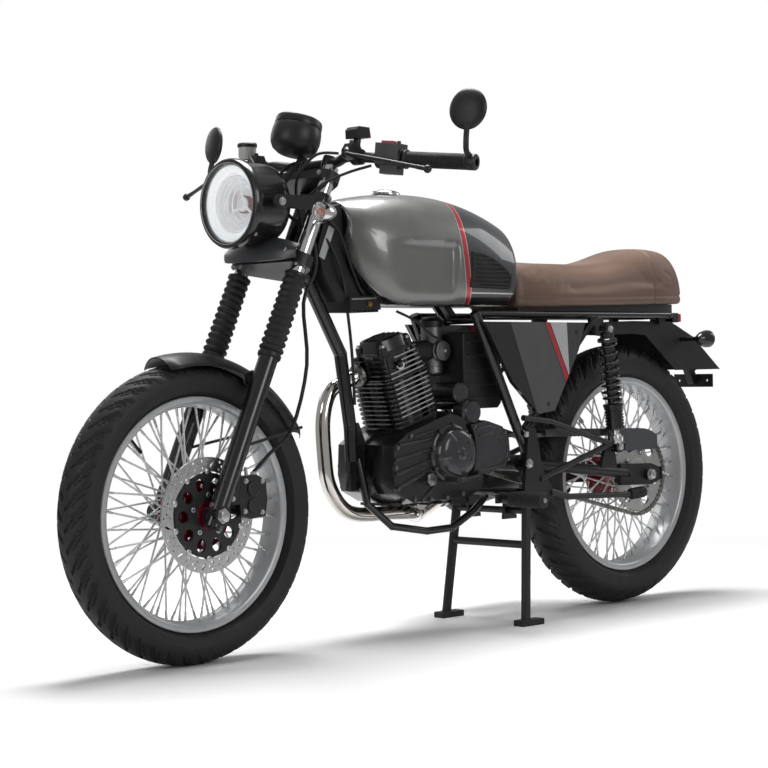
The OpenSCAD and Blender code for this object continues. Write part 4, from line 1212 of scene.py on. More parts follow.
def pipe(way, r, sides=20):
    """A tube along a way, in metres; r is in millimetres and may be a list along the way."""
    rows = []
    side = (way[1] - way[0]).orthogonal().normalized()
    for i, point in enumerate(way):
        ahead = (way[min(i + 1, len(way) - 1)] - way[max(i - 1, 0)]).normalized()
        side = (side - ahead * side.dot(ahead)).normalized()
        third = ahead.cross(side)
        size = r[i] if isinstance(r, list) else r
        spokes = [turn(360 * k / sides) for k in range(sides)]
        rows.append([point + (side * c + third * s) * (size * mm) for c, s in spokes])
    return skin(rows, closed_ring=False)


def mirrored(points, side):
    """The same points on one side of the machine; side is 1 for left and -1 for right."""
    return [Vector((p.x, p.y * side, p.z)) for p in points]


bar_half = [at(985.1, 66, 1041.4), at(1007.1, 120, 1049.4), at(1002.1, 190, 1041.4),
            at(925.1, 404, 1018.4)]
bar_line = rounded_way(mirrored(list(reversed(bar_half)), -1) + bar_half)
bars = Kit().add(pipe(bar_line, 11, 28))
riser_foot = head_base + fork_up * (776.4 * mm) + fork_ahead * (15 * mm)
for y in (-40, 40):
    foot = riser_foot + step(0, y, 0)
    bars.add(spun(foot, [(0.1, 0), (14, 0), (13, 3), (12.6, 30), (15.6, 36), (15.6, 58),
                         (14.4, 59.4), (0.1, 59.4)], 36, fork_up))
    for out in (-8.5, 8.5):
        bars.add(bolt(foot + fork_up * (59.2 * mm) + fork_ahead * (out * mm), fork_up, 3, 2), 1)
bars.done("handlebar_bent", [satin_black, steel], "steering", "bar_black",
          stands_for=["handlebar"])

# ---------------------------------------------------------------- grips
# Black rubber grips with fine ribs and an end flange, pushed onto the bar.
grip_root, grip_tip = bar_half[2], bar_half[3]
grip_length = (grip_tip - grip_root).length / mm
grips = Kit()
for side in (-1, 1):
    foot, tip = mirrored([grip_root, grip_tip], side)
    away = (tip - foot).normalized()
    s0, s1 = 0.36 * grip_length, 0.985 * grip_length
    outline = [(11.3, s0), (20, s0), (20.4, s0 + 1), (20.4, s0 + 4), (17, s0 + 5.5)]
    ribs = 34
    for k in range(ribs):
        s = s0 + 8 + (s1 - s0 - 14) * k / ribs
        outline += [(15.4, s), (16.8, s + 0.7), (16.8, s + 2.2), (15.4, s + 2.9)]
    outline += [(16.8, s1 - 4), (16.8, s1 - 0.6), (16, s1), (11.3, s1)]
    grips.add(spun(foot, outline, 40, away))
grips.done("ribbed_grips", rubber("grip_rubber", 0.1), "steering", "grip_rubber", crease=55,
           stands_for=["grips"])

# ---------------------------------------------------------------- controls
# Lever perches with their levers and the two switch housings, moulded and cast in black. Each
# housing has a red switch on top; the right perch has the brake reservoir in cloudy plastic.
cloudy = painted("cloudy_plastic", (0.66, 0.67, 0.63), 0.35, peel=0.1)
red_plastic = painted("red_plastic", (0.5, 0.02, 0.02), 0.35)


def smooth(points, steps=8):
    """A rounded way through points: an even spline that keeps its two ends."""
    fine = []
    for i in range(len(points) - 1):
        p0 = points[max(i - 1, 0)]
        p1, p2 = points[i], points[i + 1]
        p3 = points[min(i + 2, len(points) - 1)]
        for k in range(steps):
            t = k / steps
            fine.append(0.5 * (2 * p1 + (p2 - p0) * t + (2 * p0 - 5 * p1 + 4 * p2 - p3) * t ** 2
                               + (3 * p1 - p0 - 3 * p2 + p3) * t ** 3))
    return fine + [points[-1]]


controls = Kit()
for side in (-1, 1):
    outward = LEFT * side
    foot, tip = mirrored([grip_root, grip_tip], side)
    away = (tip - foot).normalized()
    s0, s1 = 0.075 * grip_length, 0.34 * grip_length
    mid = (s0 + s1) / 2
    housing = [(11.2, s0), (19, s0), (21.4, s0 + 2), (22, s0 + 6), (22, mid - 1), (21.2, mid - 0.6),
               (21.2, mid + 0.6), (22, mid + 1), (22, s1 - 6), (21, s1 - 1.5), (19, s1), (11.2, s1)]
    controls.add(spun(foot, housing, 44, away))
    upward = (UP - away * away.z).normalized()
    front = away.cross(upward) * side
    centre = foot + away * (mid * mm)
    frame_of = (away, front, upward)
    for middle, sizes, mark in (
            (centre + upward * (9 * mm), (54, 44, 44), 0),
            (centre - upward * (20 * mm) + away * (4 * mm), (40, 34, 26), 0),
            (centre + upward * (33 * mm) - away * (6 * mm), (26, 20, 7), 2)):
        bottom, top = [[middle + sum((axis * (size * sign * mm / 2) for axis, size, sign in
                                      zip(frame_of, sizes, (*signs, rise))), Vector())
                        for signs in ((-1, -1), (1, -1), (1, 1), (-1, 1))] for rise in (-1, 1)]
        controls.add(block(bottom, top), mark)
    button_foot = centre + away * (17 * mm) + upward * (30 * mm)
    button_tall = 7 if side > 0 else 4
    controls.add(rod(button_foot, button_foot + upward * (button_tall * mm), 4.5, 3.9, 20))
    rear_face = centre - front * (19 * mm)
    for shift, r in ((-16, 5), (0, 6.5), (16, 5)):
        spot = rear_face + away * (shift * mm)
        controls.add(rod(spot, spot - front * (6 * mm), r, r * 0.8, 18), 0)
    perch = at(1018.6, 155 * side, 1049.4)
    controls.add(spun(at(1004.6, 144 * side, 1045.4), [(11.2, 0), (16.5, 0), (17, 1), (17, 21),
                                                       (16.5, 22), (11.2, 22)], 36, outward))
    x0, z0 = (perch.x - rear_axle.x) / mm, perch.z / mm
    controls.add(slab([(x0 - 12, z0 - 12), (x0 + 8, z0 - 10), (x0 + 22, z0 - 5), (x0 + 22, z0 + 10),
                       (x0 + 12, z0 + 24), (x0 - 8, z0 + 24), (x0 - 14, z0 + 10)],
                      142 * side, 167 * side))
    lever = smooth([perch + step(x, y * side, z) for x, y, z in (
        (8, 2, 2), (34, 18, -1), (46, 40, -5), (40, 110, -20), (24, 190, -39), (16, 232, -49))], 7)
    sizes = [7.5 - 3.2 * min(1, i / 14) + (0.6 if i > 30 else 0) for i in range(len(lever))]
    controls.add(pipe(lever, sizes, 14))
    controls.add(spun(perch + step(16, 236 * side, -50),
                      [(0.1, -8.6)] + [(8.6 * turn(a)[0], 8.6 * turn(a)[1])
                                       for a in range(-75, 90, 15)] + [(0.1, 8.6)], 24, outward))
    controls.add(bolt(perch + step(27, 9 * side, 9), UP, 4, 4), 1)
    controls.add(bolt(perch + step(4, 0, 24), UP, 5, 6), 0)
controls.add(spun(at(1024, -184, 1068), [(0.1, 0), (17, 0), (19, 3), (20, 8), (20, 27), (0.1, 27)],
                  40, UP), 3)
controls.add(spun(at(1024, -184, 1095), [(0.1, 0), (21.5, 0), (22, 2), (22, 7), (20, 9.4),
                                         (0.1, 9.4)], 40, UP), 0)
controls.add(rod(at(1020, -160, 1062), at(1024, -184, 1070), 8, 9, 20), 0)
controls.add(rod(at(1006, 152, 1068), at(1002, 152, 1088), 8, 8, 20), 0)
controls.add(slab([(980, 1086), (1020, 1084), (1021, 1102), (1014, 1109), (984, 1108)], 134, 170),
             0)
controls.done("hand_controls", [black_plastic, steel, red_plastic, cloudy], "steering",
              "control_black", bevel=1.2, stands_for=["controls"])

# ---------------------------------------------------------------- cables
# Black sheathed cables run from the levers, the throttle and the instrument in loose bends
# round the head of the frame and into the back of the lamp.
def lead(points, r):
    """A sheathed cable or hose through points in millimetres, in easy bends."""
    return pipe(smooth([at(*p) for p in points], 7), r, 12)


cables = Kit()
for points, r in (
        ([(1050, 144, 1052), (1082, 110, 1050), (1098, 70, 1010), (1084, 46, 960), (1064, 40, 905)],
         3.2),
        ([(1048, -144, 1050), (1084, -104, 1062), (1100, -64, 1030), (1086, -46, 970),
          (1068, -44, 905)], 3.2),
        ([(1006, 196, 1024), (1030, 150, 1012), (1060, 110, 992), (1084, 70, 960), (1114, 30, 950)],
         3.0),
        ([(1006, -196, 1024), (1030, -150, 1012), (1060, -110, 992), (1084, -70, 960),
          (1114, -30, 950)], 3.0),
        ([(1044, 8, 1046), (1066, 14, 1028), (1082, 10, 1000), (1104, 6, 970), (1118, 4, 958)],
         4.2),
        ([(1032, -16, 1046), (1058, -24, 1030), (1078, -26, 1000), (1098, -18, 962),
          (1116, -14, 948)], 3.4)):
    cables.add(lead(points, r))
cables.done("control_cables", hose_rubber, "steering", "control_black", crease=60)

# ---------------------------------------------------------------- head covers
# Black moulded covers hide the wiring between the steering head and the tank. A blank silver
# label is stuck on the left one, and a regulator with cooling ribs hangs below.
head_covers = Kit()
head_covers.add(slab([(990, 946), (950, 958), (944, 884), (876, 800), (868, 748), (966, 744),
                      (1006, 806), (1020, 862)], -40, 40))
brass = painted("passivated_brass", (0.42, 0.3, 0.1), 0.3, metal=1)
blank_label = painted("blank_label", (0.55, 0.56, 0.56), 0.4, metal=0.4)
label_at = at(996, 41.2, 872)
half_wide, half_tall = fork_ahead * (9 * mm), fork_up * (37 * mm)
corners = [label_at + half_wide * u + half_tall * v
           for u, v in ((-1, -1), (1, -1), (1, 1), (-1, 1))]
head_covers.add(block(corners, [c + LEFT * (0.8 * mm) for c in corners]), 1)
head_covers.add(slab([(846, 728), (936, 726), (940, 756), (850, 760)], -46, 50), 0)
for k in range(8):
    x = 852 + 11 * k
    head_covers.add(slab([(x, 729), (x + 4, 729), (x + 4, 723), (x, 723)], -44, 48), 0)
head_covers.add(slab([(850, 752), (934, 749), (934, 752), (850, 755)], 49, 52), 2)
head_covers.add(rod(at(884, 49, 740), at(884, 56, 740), 6.5, 6, 20), 3)
head_covers.add(bolt(at(884, 56, 740), LEFT, 4, 3), 3)
for points, r in (
        ([(1004, 36, 930), (970, 50, 900), (930, 48, 820), (900, 44, 770), (872, 40, 744)], 3.2),
        ([(1010, 30, 900), (985, 46, 860), (960, 50, 800), (934, 34, 740), (914, 26, 640),
          (906, 24, 520)], 3.4),
        ([(1000, -30, 900), (980, -46, 850), (950, -44, 780), (900, -40, 744)], 3.2)):
    head_covers.add(lead(points, r), 0)
head_covers.done("head_covers", [satin_black, blank_label, steel, brass], "frame",
                 "frame_black", bevel=1.5)

# ---------------------------------------------------------------- mirrors
# Round mirrors on bent stalks clamped to the bar ends. The shells are black with a shallow dome
# and the glass faces the rider.
mirror_glass = chromed("mirror_glass", (0.8, 0.82, 0.84), 0.02)
mirrors = Kit()
for side in (-1, 1):
    foot, tip = mirrored([grip_root, grip_tip], side)
    away = (tip - foot).normalized()
    length = grip_length
    mirrors.add(spun(foot, [(11.3, 0.987 * length), (16.4, 0.987 * length),
                            (17, 0.987 * length + 1), (17, 1.06 * length), (15, 1.07 * length),
                            (8, 1.07 * length), (8, 1.055 * length), (11.3, 1.05 * length)], 40,
                     away))
    stalk = [foot + away * (1.03 * length * mm) + step(4, 0, 10),
             tip + step(17, 8 * side, 20),
             tip + step(20, 10 * side, 44),
             tip + step(15, 8 * side, 68)]
    mirrors.add(pipe(smooth(stalk, 8), 6, 20))
    centre = tip + step(14, 8 * side, 108)
    facing = Vector((0.9606, 0.2574 * side, 0.1045))
    dome = [(0.1, 8)] + [(43 * turn(a)[0], -5 + 13 * turn(a)[1]) for a in range(80, 0, -8)]
    dome += [(43, -5), (43, -7.4), (41.6, -8), (40, -8), (39.6, -6.6)]
    mirrors.add(spun(centre, dome + [(0.1, -6.6)], 72, facing), 0)
    mirrors.add(spun(centre, [(0.1, -6.9), (39.4, -6.9), (39.4, -6.4), (0.1, -6.4)], 72, facing), 1)
    mirrors.add(rod(centre + step(0, 0, -42), centre + facing * (1 * mm), 8, 6, 20), 0)
mirrors.done("bar_end_mirrors", [satin_black, mirror_glass], "steering", "mirror_black",
             stands_for=["mirrors"])

# ---------------------------------------------------------------- turn signals
# Small round signals on chrome cones in front, with a clear glass over an amber bulb. The rear
# ones are black cones on the mudguard, with amber glasses that face back.
amber_bulb = painted("amber_bulb", (0.75, 0.16, 0.02), 0.25, coat=0.5)
front_signals, rear_signals, front_glasses = Kit(), Kit(), Kit()
for side in (-1, 1):
    spot = at(1078.3, 160 * side, 925)
    front_signals.add(spun(spot, [(0.1, 0), (6, 0), (11, 5), (17, 17), (20, 29), (21, 34), (21, 45),
                                  (20, 46), (18.6, 45), (18, 40), (0.1, 34)], 56, FORWARD), 0)
    front_signals.add(spun(spot, [(0.1, 36), (8.5, 36), (8.5, 41), (6, 45), (0.1, 47)], 32,
                           FORWARD), 1)
    front_signals.add(rod(at(1078.3, 109 * side, 910.6), at(1086.3, 160 * side, 920.6), 7, 7, 24),
                      0)
    front_glasses.add(spun(spot, [(18.4, 44), (17, 48), (13, 51), (7, 52.6), (0.1, 53), (0.1, 51.6),
                                  (7, 51.2), (13, 49.4), (16.4, 47), (17.2, 44)], 48, FORWARD), 0)
    back = at(-180, 130 * side, 657)
    rear_signals.add(spun(back, [(0.1, 0), (6, 0), (12, 6), (18, 18), (21, 30), (21.8, 34),
                                 (21.8, 44), (0.1, 44)], 56, -FORWARD), 0)
    rear_signals.add(spun(back, [(20.6, 44), (20, 47), (15, 50.4), (8, 51.8), (0.1, 52),
                                 (0.1, 44)], 48, -FORWARD), 1)
    rear_signals.add(rod(at(-190, 70 * side, 657), at(-190, 126 * side, 657), 6, 6, 20), 0)
front_signals.done("front_signals", [chrome, amber_bulb], "steering", "indicator_chrome",
                   stands_for=["front_indicators"])
front_glasses.done("front_signal_glasses", lens_glass, "steering", "indicator_chrome", crease=60)
rear_signals.done("rear_signals", [gloss_black, amber_bulb], "frame", "lens_amber",
                  stands_for=["rear_indicators"])

# ---------------------------------------------------------------- engine cases
# Cast alloy cases in black enamel, split down the middle. Slate covers close the generator and
# the chain wheel on the left, the clutch cover closes the right; screws ring all of them.
slate_cast = painted("slate_cast_enamel", (0.042, 0.043, 0.047), 0.24, metal=0.3, coat=0.5)
cast_black = painted("cast_black_enamel", (0.008, 0.008, 0.009), 0.28, coat=0.45, peel=0.3,
                     orange_peel=260)
dark_steel = painted("blackened_steel", (0.2, 0.2, 0.2), 0.28, metal=0.9, fleck=0.1, peel=0.05)


def upright(points, low, high, widen=0.0):
    """A block between two flat outlines in x and z, drawn in a little on its outer side."""
    cx = sum(p[0] for p in points) / len(points)
    cz = sum(p[1] for p in points) / len(points)
    outer = [(cx + (x - cx) * (1 - widen), cz + (z - cz) * (1 - widen)) for x, z in points]
    return block([at(x, low, z) for x, z in points], [at(x, high, z) for x, z in outer])


cases = Kit()
whole = [(852, 322), (862, 360), (858, 430), (814, 458), (672, 500), (600, 486), (552, 466),
         (505, 440), (500, 372), (530, 322), (600, 296), (800, 296)]
ahead_part = [(852, 322), (862, 360), (858, 430), (814, 458), (672, 500), (622, 488), (612, 440),
              (612, 340), (640, 300), (800, 296)]
cases.add(upright(whole, -1, 58))
cases.add(upright(whole, 1, -90, 0.03))
cases.add(upright(ahead_part, 56, 90, 0.05))
cases.add(upright([(856, 318), (866, 360), (862, 434), (816, 462), (672, 504), (596, 490),
                   (548, 470), (500, 443), (496, 372), (526, 318), (598, 292), (804, 292)], -4, 4))
for side, low, high in ((1, 86, 93), (-1, -86, -93)):
    for x, z in ((842, 334), (848, 380), (842, 424), (800, 448), (792, 308), (742, 306),
                 (690, 306), (640, 312)):
        cases.add(rod(at(x, low - side * 30, z), at(x, high - side * 2, z), 8.5, 7.5, 20))
        cases.add(bolt(at(x, high - side * 2, z), LEFT * side, 4.2, 3), 2)
for k in range(5):
    x = 650 + 38 * k
    cases.add(slab([(x, 297), (x + 5, 297), (x + 5, 291), (x, 291)], -70, 70))
for foot, head in (((846, 336), (740, 372)), ((850, 366), (744, 392)), ((850, 398), (744, 416)),
                   ((838, 430), (736, 440)), ((792, 446), (724, 458)), ((770, 304), (726, 338))):
    middle = [(p + q) / 2 for p, q in zip(foot, head)]
    cases.add(pipe([at(x, y, z) for (x, z), y in ((foot, 89), (middle, 90.5), (head, 89))],
                   4.6, 12), 0)
round_cover = at(672, 0, 404)
cases.add(spun(round_cover, [(0.1, 84), (67, 84), (67, 91), (64.5, 94), (61, 95), (59.5, 99),
                             (57.5, 109), (52, 116), (44, 119.6), (30, 121.6), (0.1, 122.4)], 96,
               LEFT), 1)
for k in range(5):
    a, b = [on_wheel(round_cover, r, 72 * k + 60, y) for r, y in ((32, 119), (54, 111))]
    cases.add(pipe([a, (a + b) / 2 + LEFT * (1.6 * mm), b], 4.2, 14), 1)
cases.add(spun(round_cover, [(0.1, 120), (14, 120), (14, 123), (12.5, 124), (4, 124), (3.4, 122.8),
                             (0.1, 122.8)], 40, LEFT), 1)
cases.add(slab([(664, 401.6), (680, 401.6), (680, 406.4), (664, 406.4)], 122, 123.6), 0)
for k in range(9):
    spot = on_wheel(round_cover, 62.5, 40 * k + 12)
    cases.add(rod(spot + LEFT * (84 * mm), spot + LEFT * (95.4 * mm), 7.5, 7, 18), 1)
    cases.add(bolt(spot + LEFT * (95.4 * mm), LEFT, 3.8, 3.2), 2)
chain_cover = [(620, 470), (560, 476), (512, 462), (490, 436), (486, 392), (506, 366), (560, 352),
               (618, 350), (606, 376), (602, 410), (608, 444)]
cases.add(upright(chain_cover, 84, 99, 0.04), 1)
inner_line = [(600, 458), (560, 463), (519, 451), (501, 430), (498, 396), (513, 376), (560, 365),
              (602, 363)]
for line, r in ((inner_line, 2.2), (((592, 442), (556, 446), (528, 436), (517, 418)), 2.0)):
    cases.add(pipe([at(x, 99.4, z) for x, z in line], r, 10), 1)
for x, z in ((606, 462), (506, 446), (496, 384), (604, 358)):
    cases.add(bolt(at(x, 97, z), LEFT, 4.2, 5), 2)
cases.add(spun(at(608, 60, 496), [(0.1, 0), (29, 0), (29, 30), (26, 33), (24, 38), (10, 39.6),
                                  (0.1, 39.6)], 48, LEFT), 1)
cases.add(rod(at(628, 8, 540), at(628, 74, 540), 24, 24, 40), 0)
cases.add(spun(at(628, 74, 540), [(0.1, 0), (24.4, 0), (24.4, 4), (21, 8), (9, 10), (0.1, 10)], 40,
               LEFT), 1)
cases.add(spun(at(690, 0, 392), [(0.1, 88), (78, 88), (78, 96), (75, 101), (71, 103), (69, 111),
                                 (62, 117.5), (46, 120.6), (0.1, 121.8)], 96, -LEFT), 0)
for k in range(10):
    c, s = turn(36 * k + 8)
    spot = at(690 + 73 * c, -94, 392 + 73 * s)
    cases.add(rod(spot + LEFT * (8 * mm), spot - LEFT * (8.6 * mm), 7.5, 7, 18), 0)
    cases.add(bolt(spot - LEFT * (8.6 * mm), -LEFT, 3.8, 3.2), 2)
cases.add(spun(at(742, 0, 350), [(0.1, 88), (16, 88), (16, 97), (12, 99), (0.1, 99)], 6, LEFT), 2)
cases.done("engine_cases", [cast_black, slate_cast, dark_steel], "frame", "engine_black", bevel=1.6,
           stands_for=["engine_case"])

# ---------------------------------------------------------------- cylinder
# An air cooled single leaning forward: cast barrel and head with deep fins whose edges are
# machined bright on the left, and a black rocker cover held by four dome nuts.
fin_bright = turned_steel("machined_fin_edge", (0.7, 0.7, 0.7), 0.3, rear_axle)
lean_c, lean_s = turn(17)


def on_bore(u, v, y=0.0):
    """A point by the cylinder: u forward across the bore, v up along it."""
    return at(742 + lean_c * u + lean_s * v, y, 478 - lean_s * u + lean_c * v)


def finned(kit, u0, u1, wide, v, thick, corner, mark):
    """One fin: a plate with rounded corners, its left and rear edges carrying the mark."""
    outline = []
    for cu, cy, start in ((u1, wide, 0), (u0, wide, 90), (u0, -wide, 180), (u1, -wide, 270)):
        for k in range(7):
            c, s = turn(start + 15 * k)
            outline.append((cu - math.copysign(corner, cu - (u0 + u1) / 2) + corner * c,
                            cy - math.copysign(corner, cy) + corner * s))
    n = len(outline)
    verts = [on_bore(u, v, y) for u, y in outline] + [on_bore(u, v + thick, y) for u, y in outline]
    kit.add((verts, [tuple(range(n)), tuple(reversed(range(n, 2 * n)))]), 0)
    for k in range(n):
        j = (k + 1) % n
        lit = outline[k][1] > 0 and outline[k][0] < u1 - corner * 0.6
        kit.add(([verts[k], verts[j], verts[n + j], verts[n + k]], [(0, 1, 2, 3)]),
                mark if lit else 0)


along_bore = (on_bore(0, 100) - on_bore(0, 0)).normalized()
top_end = Kit()
top_end.add(spun(on_bore(0, 0), [(0.1, -6), (57, -6), (57, 114), (0.1, 114)], 64, along_bore), 0)
for k in range(10):
    finned(top_end, -70, 70, 65, 5 + 10.6 * k, 3.0, 24, 1 if k > 1 else 0)
for v in (-3, 108):
    finned(top_end, -68, 66, 60, v, 7 if v < 0 else 4, 16, 0)
top_end.add(spun(on_bore(0, 112), [(0.1, 0), (52, 0), (52, 58), (0.1, 58)], 48, along_bore), 0)
for k in range(5):
    finned(top_end, -66 + 2 * k, 68 - 3 * k, 61 - 1.5 * k, 115 + 10.4 * k, 3.2, 20, 1)
for y0, y1 in ((34, 58), (-58, -34)):
    tunnel = [(30, 4), (52, 4), (50, 164), (28, 164)]
    top_end.add(block(*[[on_bore(u, v, y) for u, v in tunnel] for y in (y0, y1)]), 0)
for u, y in ((46, 46), (-46, 46), (46, -46), (-46, -46)):
    top_end.add(rod(on_bore(u, 0, y), on_bore(u, 166, y), 8, 8, 18), 0)
plug = on_bore(20, 138, 60)
top_end.add(rod(on_bore(10, 140, 40), plug + LEFT * (4 * mm), 11, 10, 6), 2)
top_end.add(rod(plug + LEFT * (2 * mm), plug + step(8, 6, 10), 7, 7, 18), 3)
top_end.done("barrel_and_head", [cast_black, fin_bright, steel, black_plastic], "frame",
             "fin_black", bevel=0.5, stands_for=["engine_top"])


def bore_block(low, high, outline, shrink):
    """A block across the bore, its outline drawn in by shrink at the top."""
    return block([on_bore(u, low, y) for u, y in outline],
                 [on_bore(u * shrink, high, y * shrink) for u, y in outline])


plan = [(48, 20), (40, 42), (20, 51), (-22, 51), (-42, 42), (-50, 20), (-50, -20), (-42, -42),
        (-22, -51), (20, -51), (40, -42), (48, -20)]
rocker = Kit().add(bore_block(165, 174, plan, 1.0), 0)
rocker.add(bore_block(173, 198, [(u * 0.93, y * 0.93) for u, y in plan], 0.9), 0)
for y in (-22, -7, 8, 23):
    rocker.add(pipe([on_bore(-34, 198, y), on_bore(0, 200.5, y), on_bore(32, 198, y)], 3.4, 12), 0)
for u, y in ((38, 38), (-40, 38), (38, -38), (-40, -38)):
    rocker.add(rod(on_bore(u, 166, y), on_bore(u, 186, y), 9.5, 8.5, 20), 0)
    rocker.add(bolt(on_bore(u, 186, y), along_bore, 6, 5), 1)
for y in (-30, 30):
    rocker.add(rod(on_bore(-44, 184, y), on_bore(-49, 184, y), 11, 10, 24), 0)
rocker.done("rocker_cover", [cast_black, steel], "frame", "fin_black", bevel=1.8)

# ---------------------------------------------------------------- intake
# Rubber stub, alloy throttle body with its drum and cable, and the moulded black air box behind.
alloy = painted("cast_alloy", (0.2, 0.2, 0.195), 0.36, metal=0.9, fleck=0.1, peel=0.25)
intake = Kit()
flange = on_bore(-66, 138)
throat = at(612, 0, 636)
intake.add(pipe(smooth([flange, flange * 0.6 + throat * 0.4 + step(0, 0, 4),
                        throat + step(6, 0, 0)], 6), 25, 40), 1)
inlet_way = (throat - flange).normalized()
intake.add(rod(flange + inlet_way * (2 * mm), flange + inlet_way * (9 * mm), 31, 30, 36), 2)
intake.add(rod(at(640, 0, 585), at(640, 0, 704), 24, 24, 40), 2)
intake.add(spun(at(640, 0, 585), [(0.1, -6), (18, -6), (25, 0), (25, 14), (24, 16), (0.1, 16)], 40,
                UP), 2)
intake.add(spun(at(640, 0, 690), [(0.1, 0), (26, 0), (26, 14), (22, 19), (0.1, 19)], 40,
                UP), 0)
intake.add(spun(at(640, 22, 636), [(0.1, 0), (23, 0), (23, 5), (20, 6), (20, 13), (23, 14),
                                   (23, 17), (0.1, 19)], 40, LEFT), 2)
intake.add(rod(at(640, 40, 636), at(640, 46, 636), 5, 5, 6), 3)
intake.add(pipe(smooth([at(640, 36, 658), at(676, 38, 672), at(724, 34, 704), at(770, 20, 726)], 8),
                3, 12), 1)
for face in (73, -73):
    intake.add(upright([(613, 512), (613, 676), (600, 682), (500, 682), (486, 668), (486, 512),
                        (498, 500), (602, 500)], 0, face, 0.03), 0)
for k in range(5):
    z = 524 + 32 * k
    intake.add(slab([(498, z), (604, z), (604, z + 6), (498, z + 6)], -74, 74), 0)
intake.done("intake_parts", [black_plastic, hose_rubber, alloy, steel], "frame", "intake_alloy",
            bevel=1.5, stands_for=["intake"])

# ---------------------------------------------------------------- exhaust
# A bent chrome header with an alloy flange at the port runs under the engine to a satin black
# silencer on the right, which hangs on a strap below the rear peg.
pipe_points = [on_bore(69.3, 132, -24), on_bore(86, 132, -25), on_bore(106, 128, -34),
               at(916, -45, 548), at(937, -46, 490), at(937, -44, 410), at(928, -42, 345),
               at(890, -42, 292), at(838, -42, 272), at(740, -44, 270), at(660, -58, 264),
               at(600, -104, 254), at(540, -158, 250), at(428, -196, 277.6)]
header = Kit().add(pipe(smooth(pipe_points, 9), 16.5, 40), 0)
port = (pipe_points[1] - pipe_points[0]).normalized()
header.add(rod(pipe_points[0] + port * (1 * mm), pipe_points[0] + port * (8 * mm), 26, 25, 32), 1)
for y in (-24, 24):
    spot = pipe_points[0] + step(0, y, 0) + port * (6 * mm)
    header.add(rod(spot, spot + port * (9 * mm), 5.5, 5.5, 6), 2)
header.done("exhaust_header", [chromed("warm_chrome", (0.86, 0.82, 0.76), 0.08), alloy, steel],
            "frame", "pipe_chrome", stands_for=["exhaust_pipe"])
can_in, can_out = at(426, -196, 278), at(128, -204, 330)
can_way = (can_out - can_in).normalized()
can_length = (can_out - can_in).length / mm
can = Kit()
can.add(spun(can_in, [(17, 2), (20, 2), (20, 14), (24, 22), (40, 46), (43, 50), (44, 54),
                      (44, can_length - 20), (43, can_length - 14), (38, can_length - 4),
                      (24, can_length), (22, can_length + 1), (22, can_length + 28),
                      (19, can_length + 28), (19, can_length - 30), (0.1, can_length - 30),
                      (0.1, 30), (17, 30)], 80, can_way), 0)
for s in (52, can_length - 24):
    can.add(spun(can_in, [(43.6, s), (44.9, s), (44.9, s + 8), (43.6, s + 8)], 80, can_way), 1)
can.add(rod(can_in + can_way * (3 * mm), can_in + can_way * (16 * mm), 21.5, 21.5, 36), 1)
hang = can_in + can_way * ((426 - 250) * mm)
can.add(rod(hang, hang + step(0, 40, 30), 7, 7, 20), 0)
can.done("silencer_can", [satin_black, steel], "frame", "silencer_black", bevel=0.4,
         stands_for=["silencer"])

# ---------------------------------------------------------------- swingarm
# Welded steel arms in satin black carry the rear axle, with chain adjusters and plated nuts. The
# arms stay as they are drawn; the loose fittings are added here.
repaint("swingarm", satin_black)
fittings = Kit()
for side in (-1, 1):
    outward = LEFT * side
    fittings.add(spun(at(0, 116.5 * side, 324), [(7.7, 0), (13.4, 0), (13.4, 2.4), (7.7, 2.4)], 36,
                      outward), 0)
    fittings.add(spun(at(0, 119 * side, 324), [(0.1, 0), (12, 0), (12, 7), (10, 8), (0.1, 8)], 6,
                      outward), 0)
    fittings.add(rod(at(-57, 99 * side, 324), at(-64, 99 * side, 324), 6.5, 6.5, 6), 0)
    fittings.add(rod(at(-64, 99 * side, 324), at(-72, 99 * side, 324), 3.4, 3.4, 14), 0)
    fittings.add(slab([(-58, 308), (-54, 308), (-54, 340), (-58, 340)], 90 * side, 108 * side), 1)
fittings.done("axle_fittings", [steel, satin_black], "frame", "swingarm_grey", bevel=0.5)

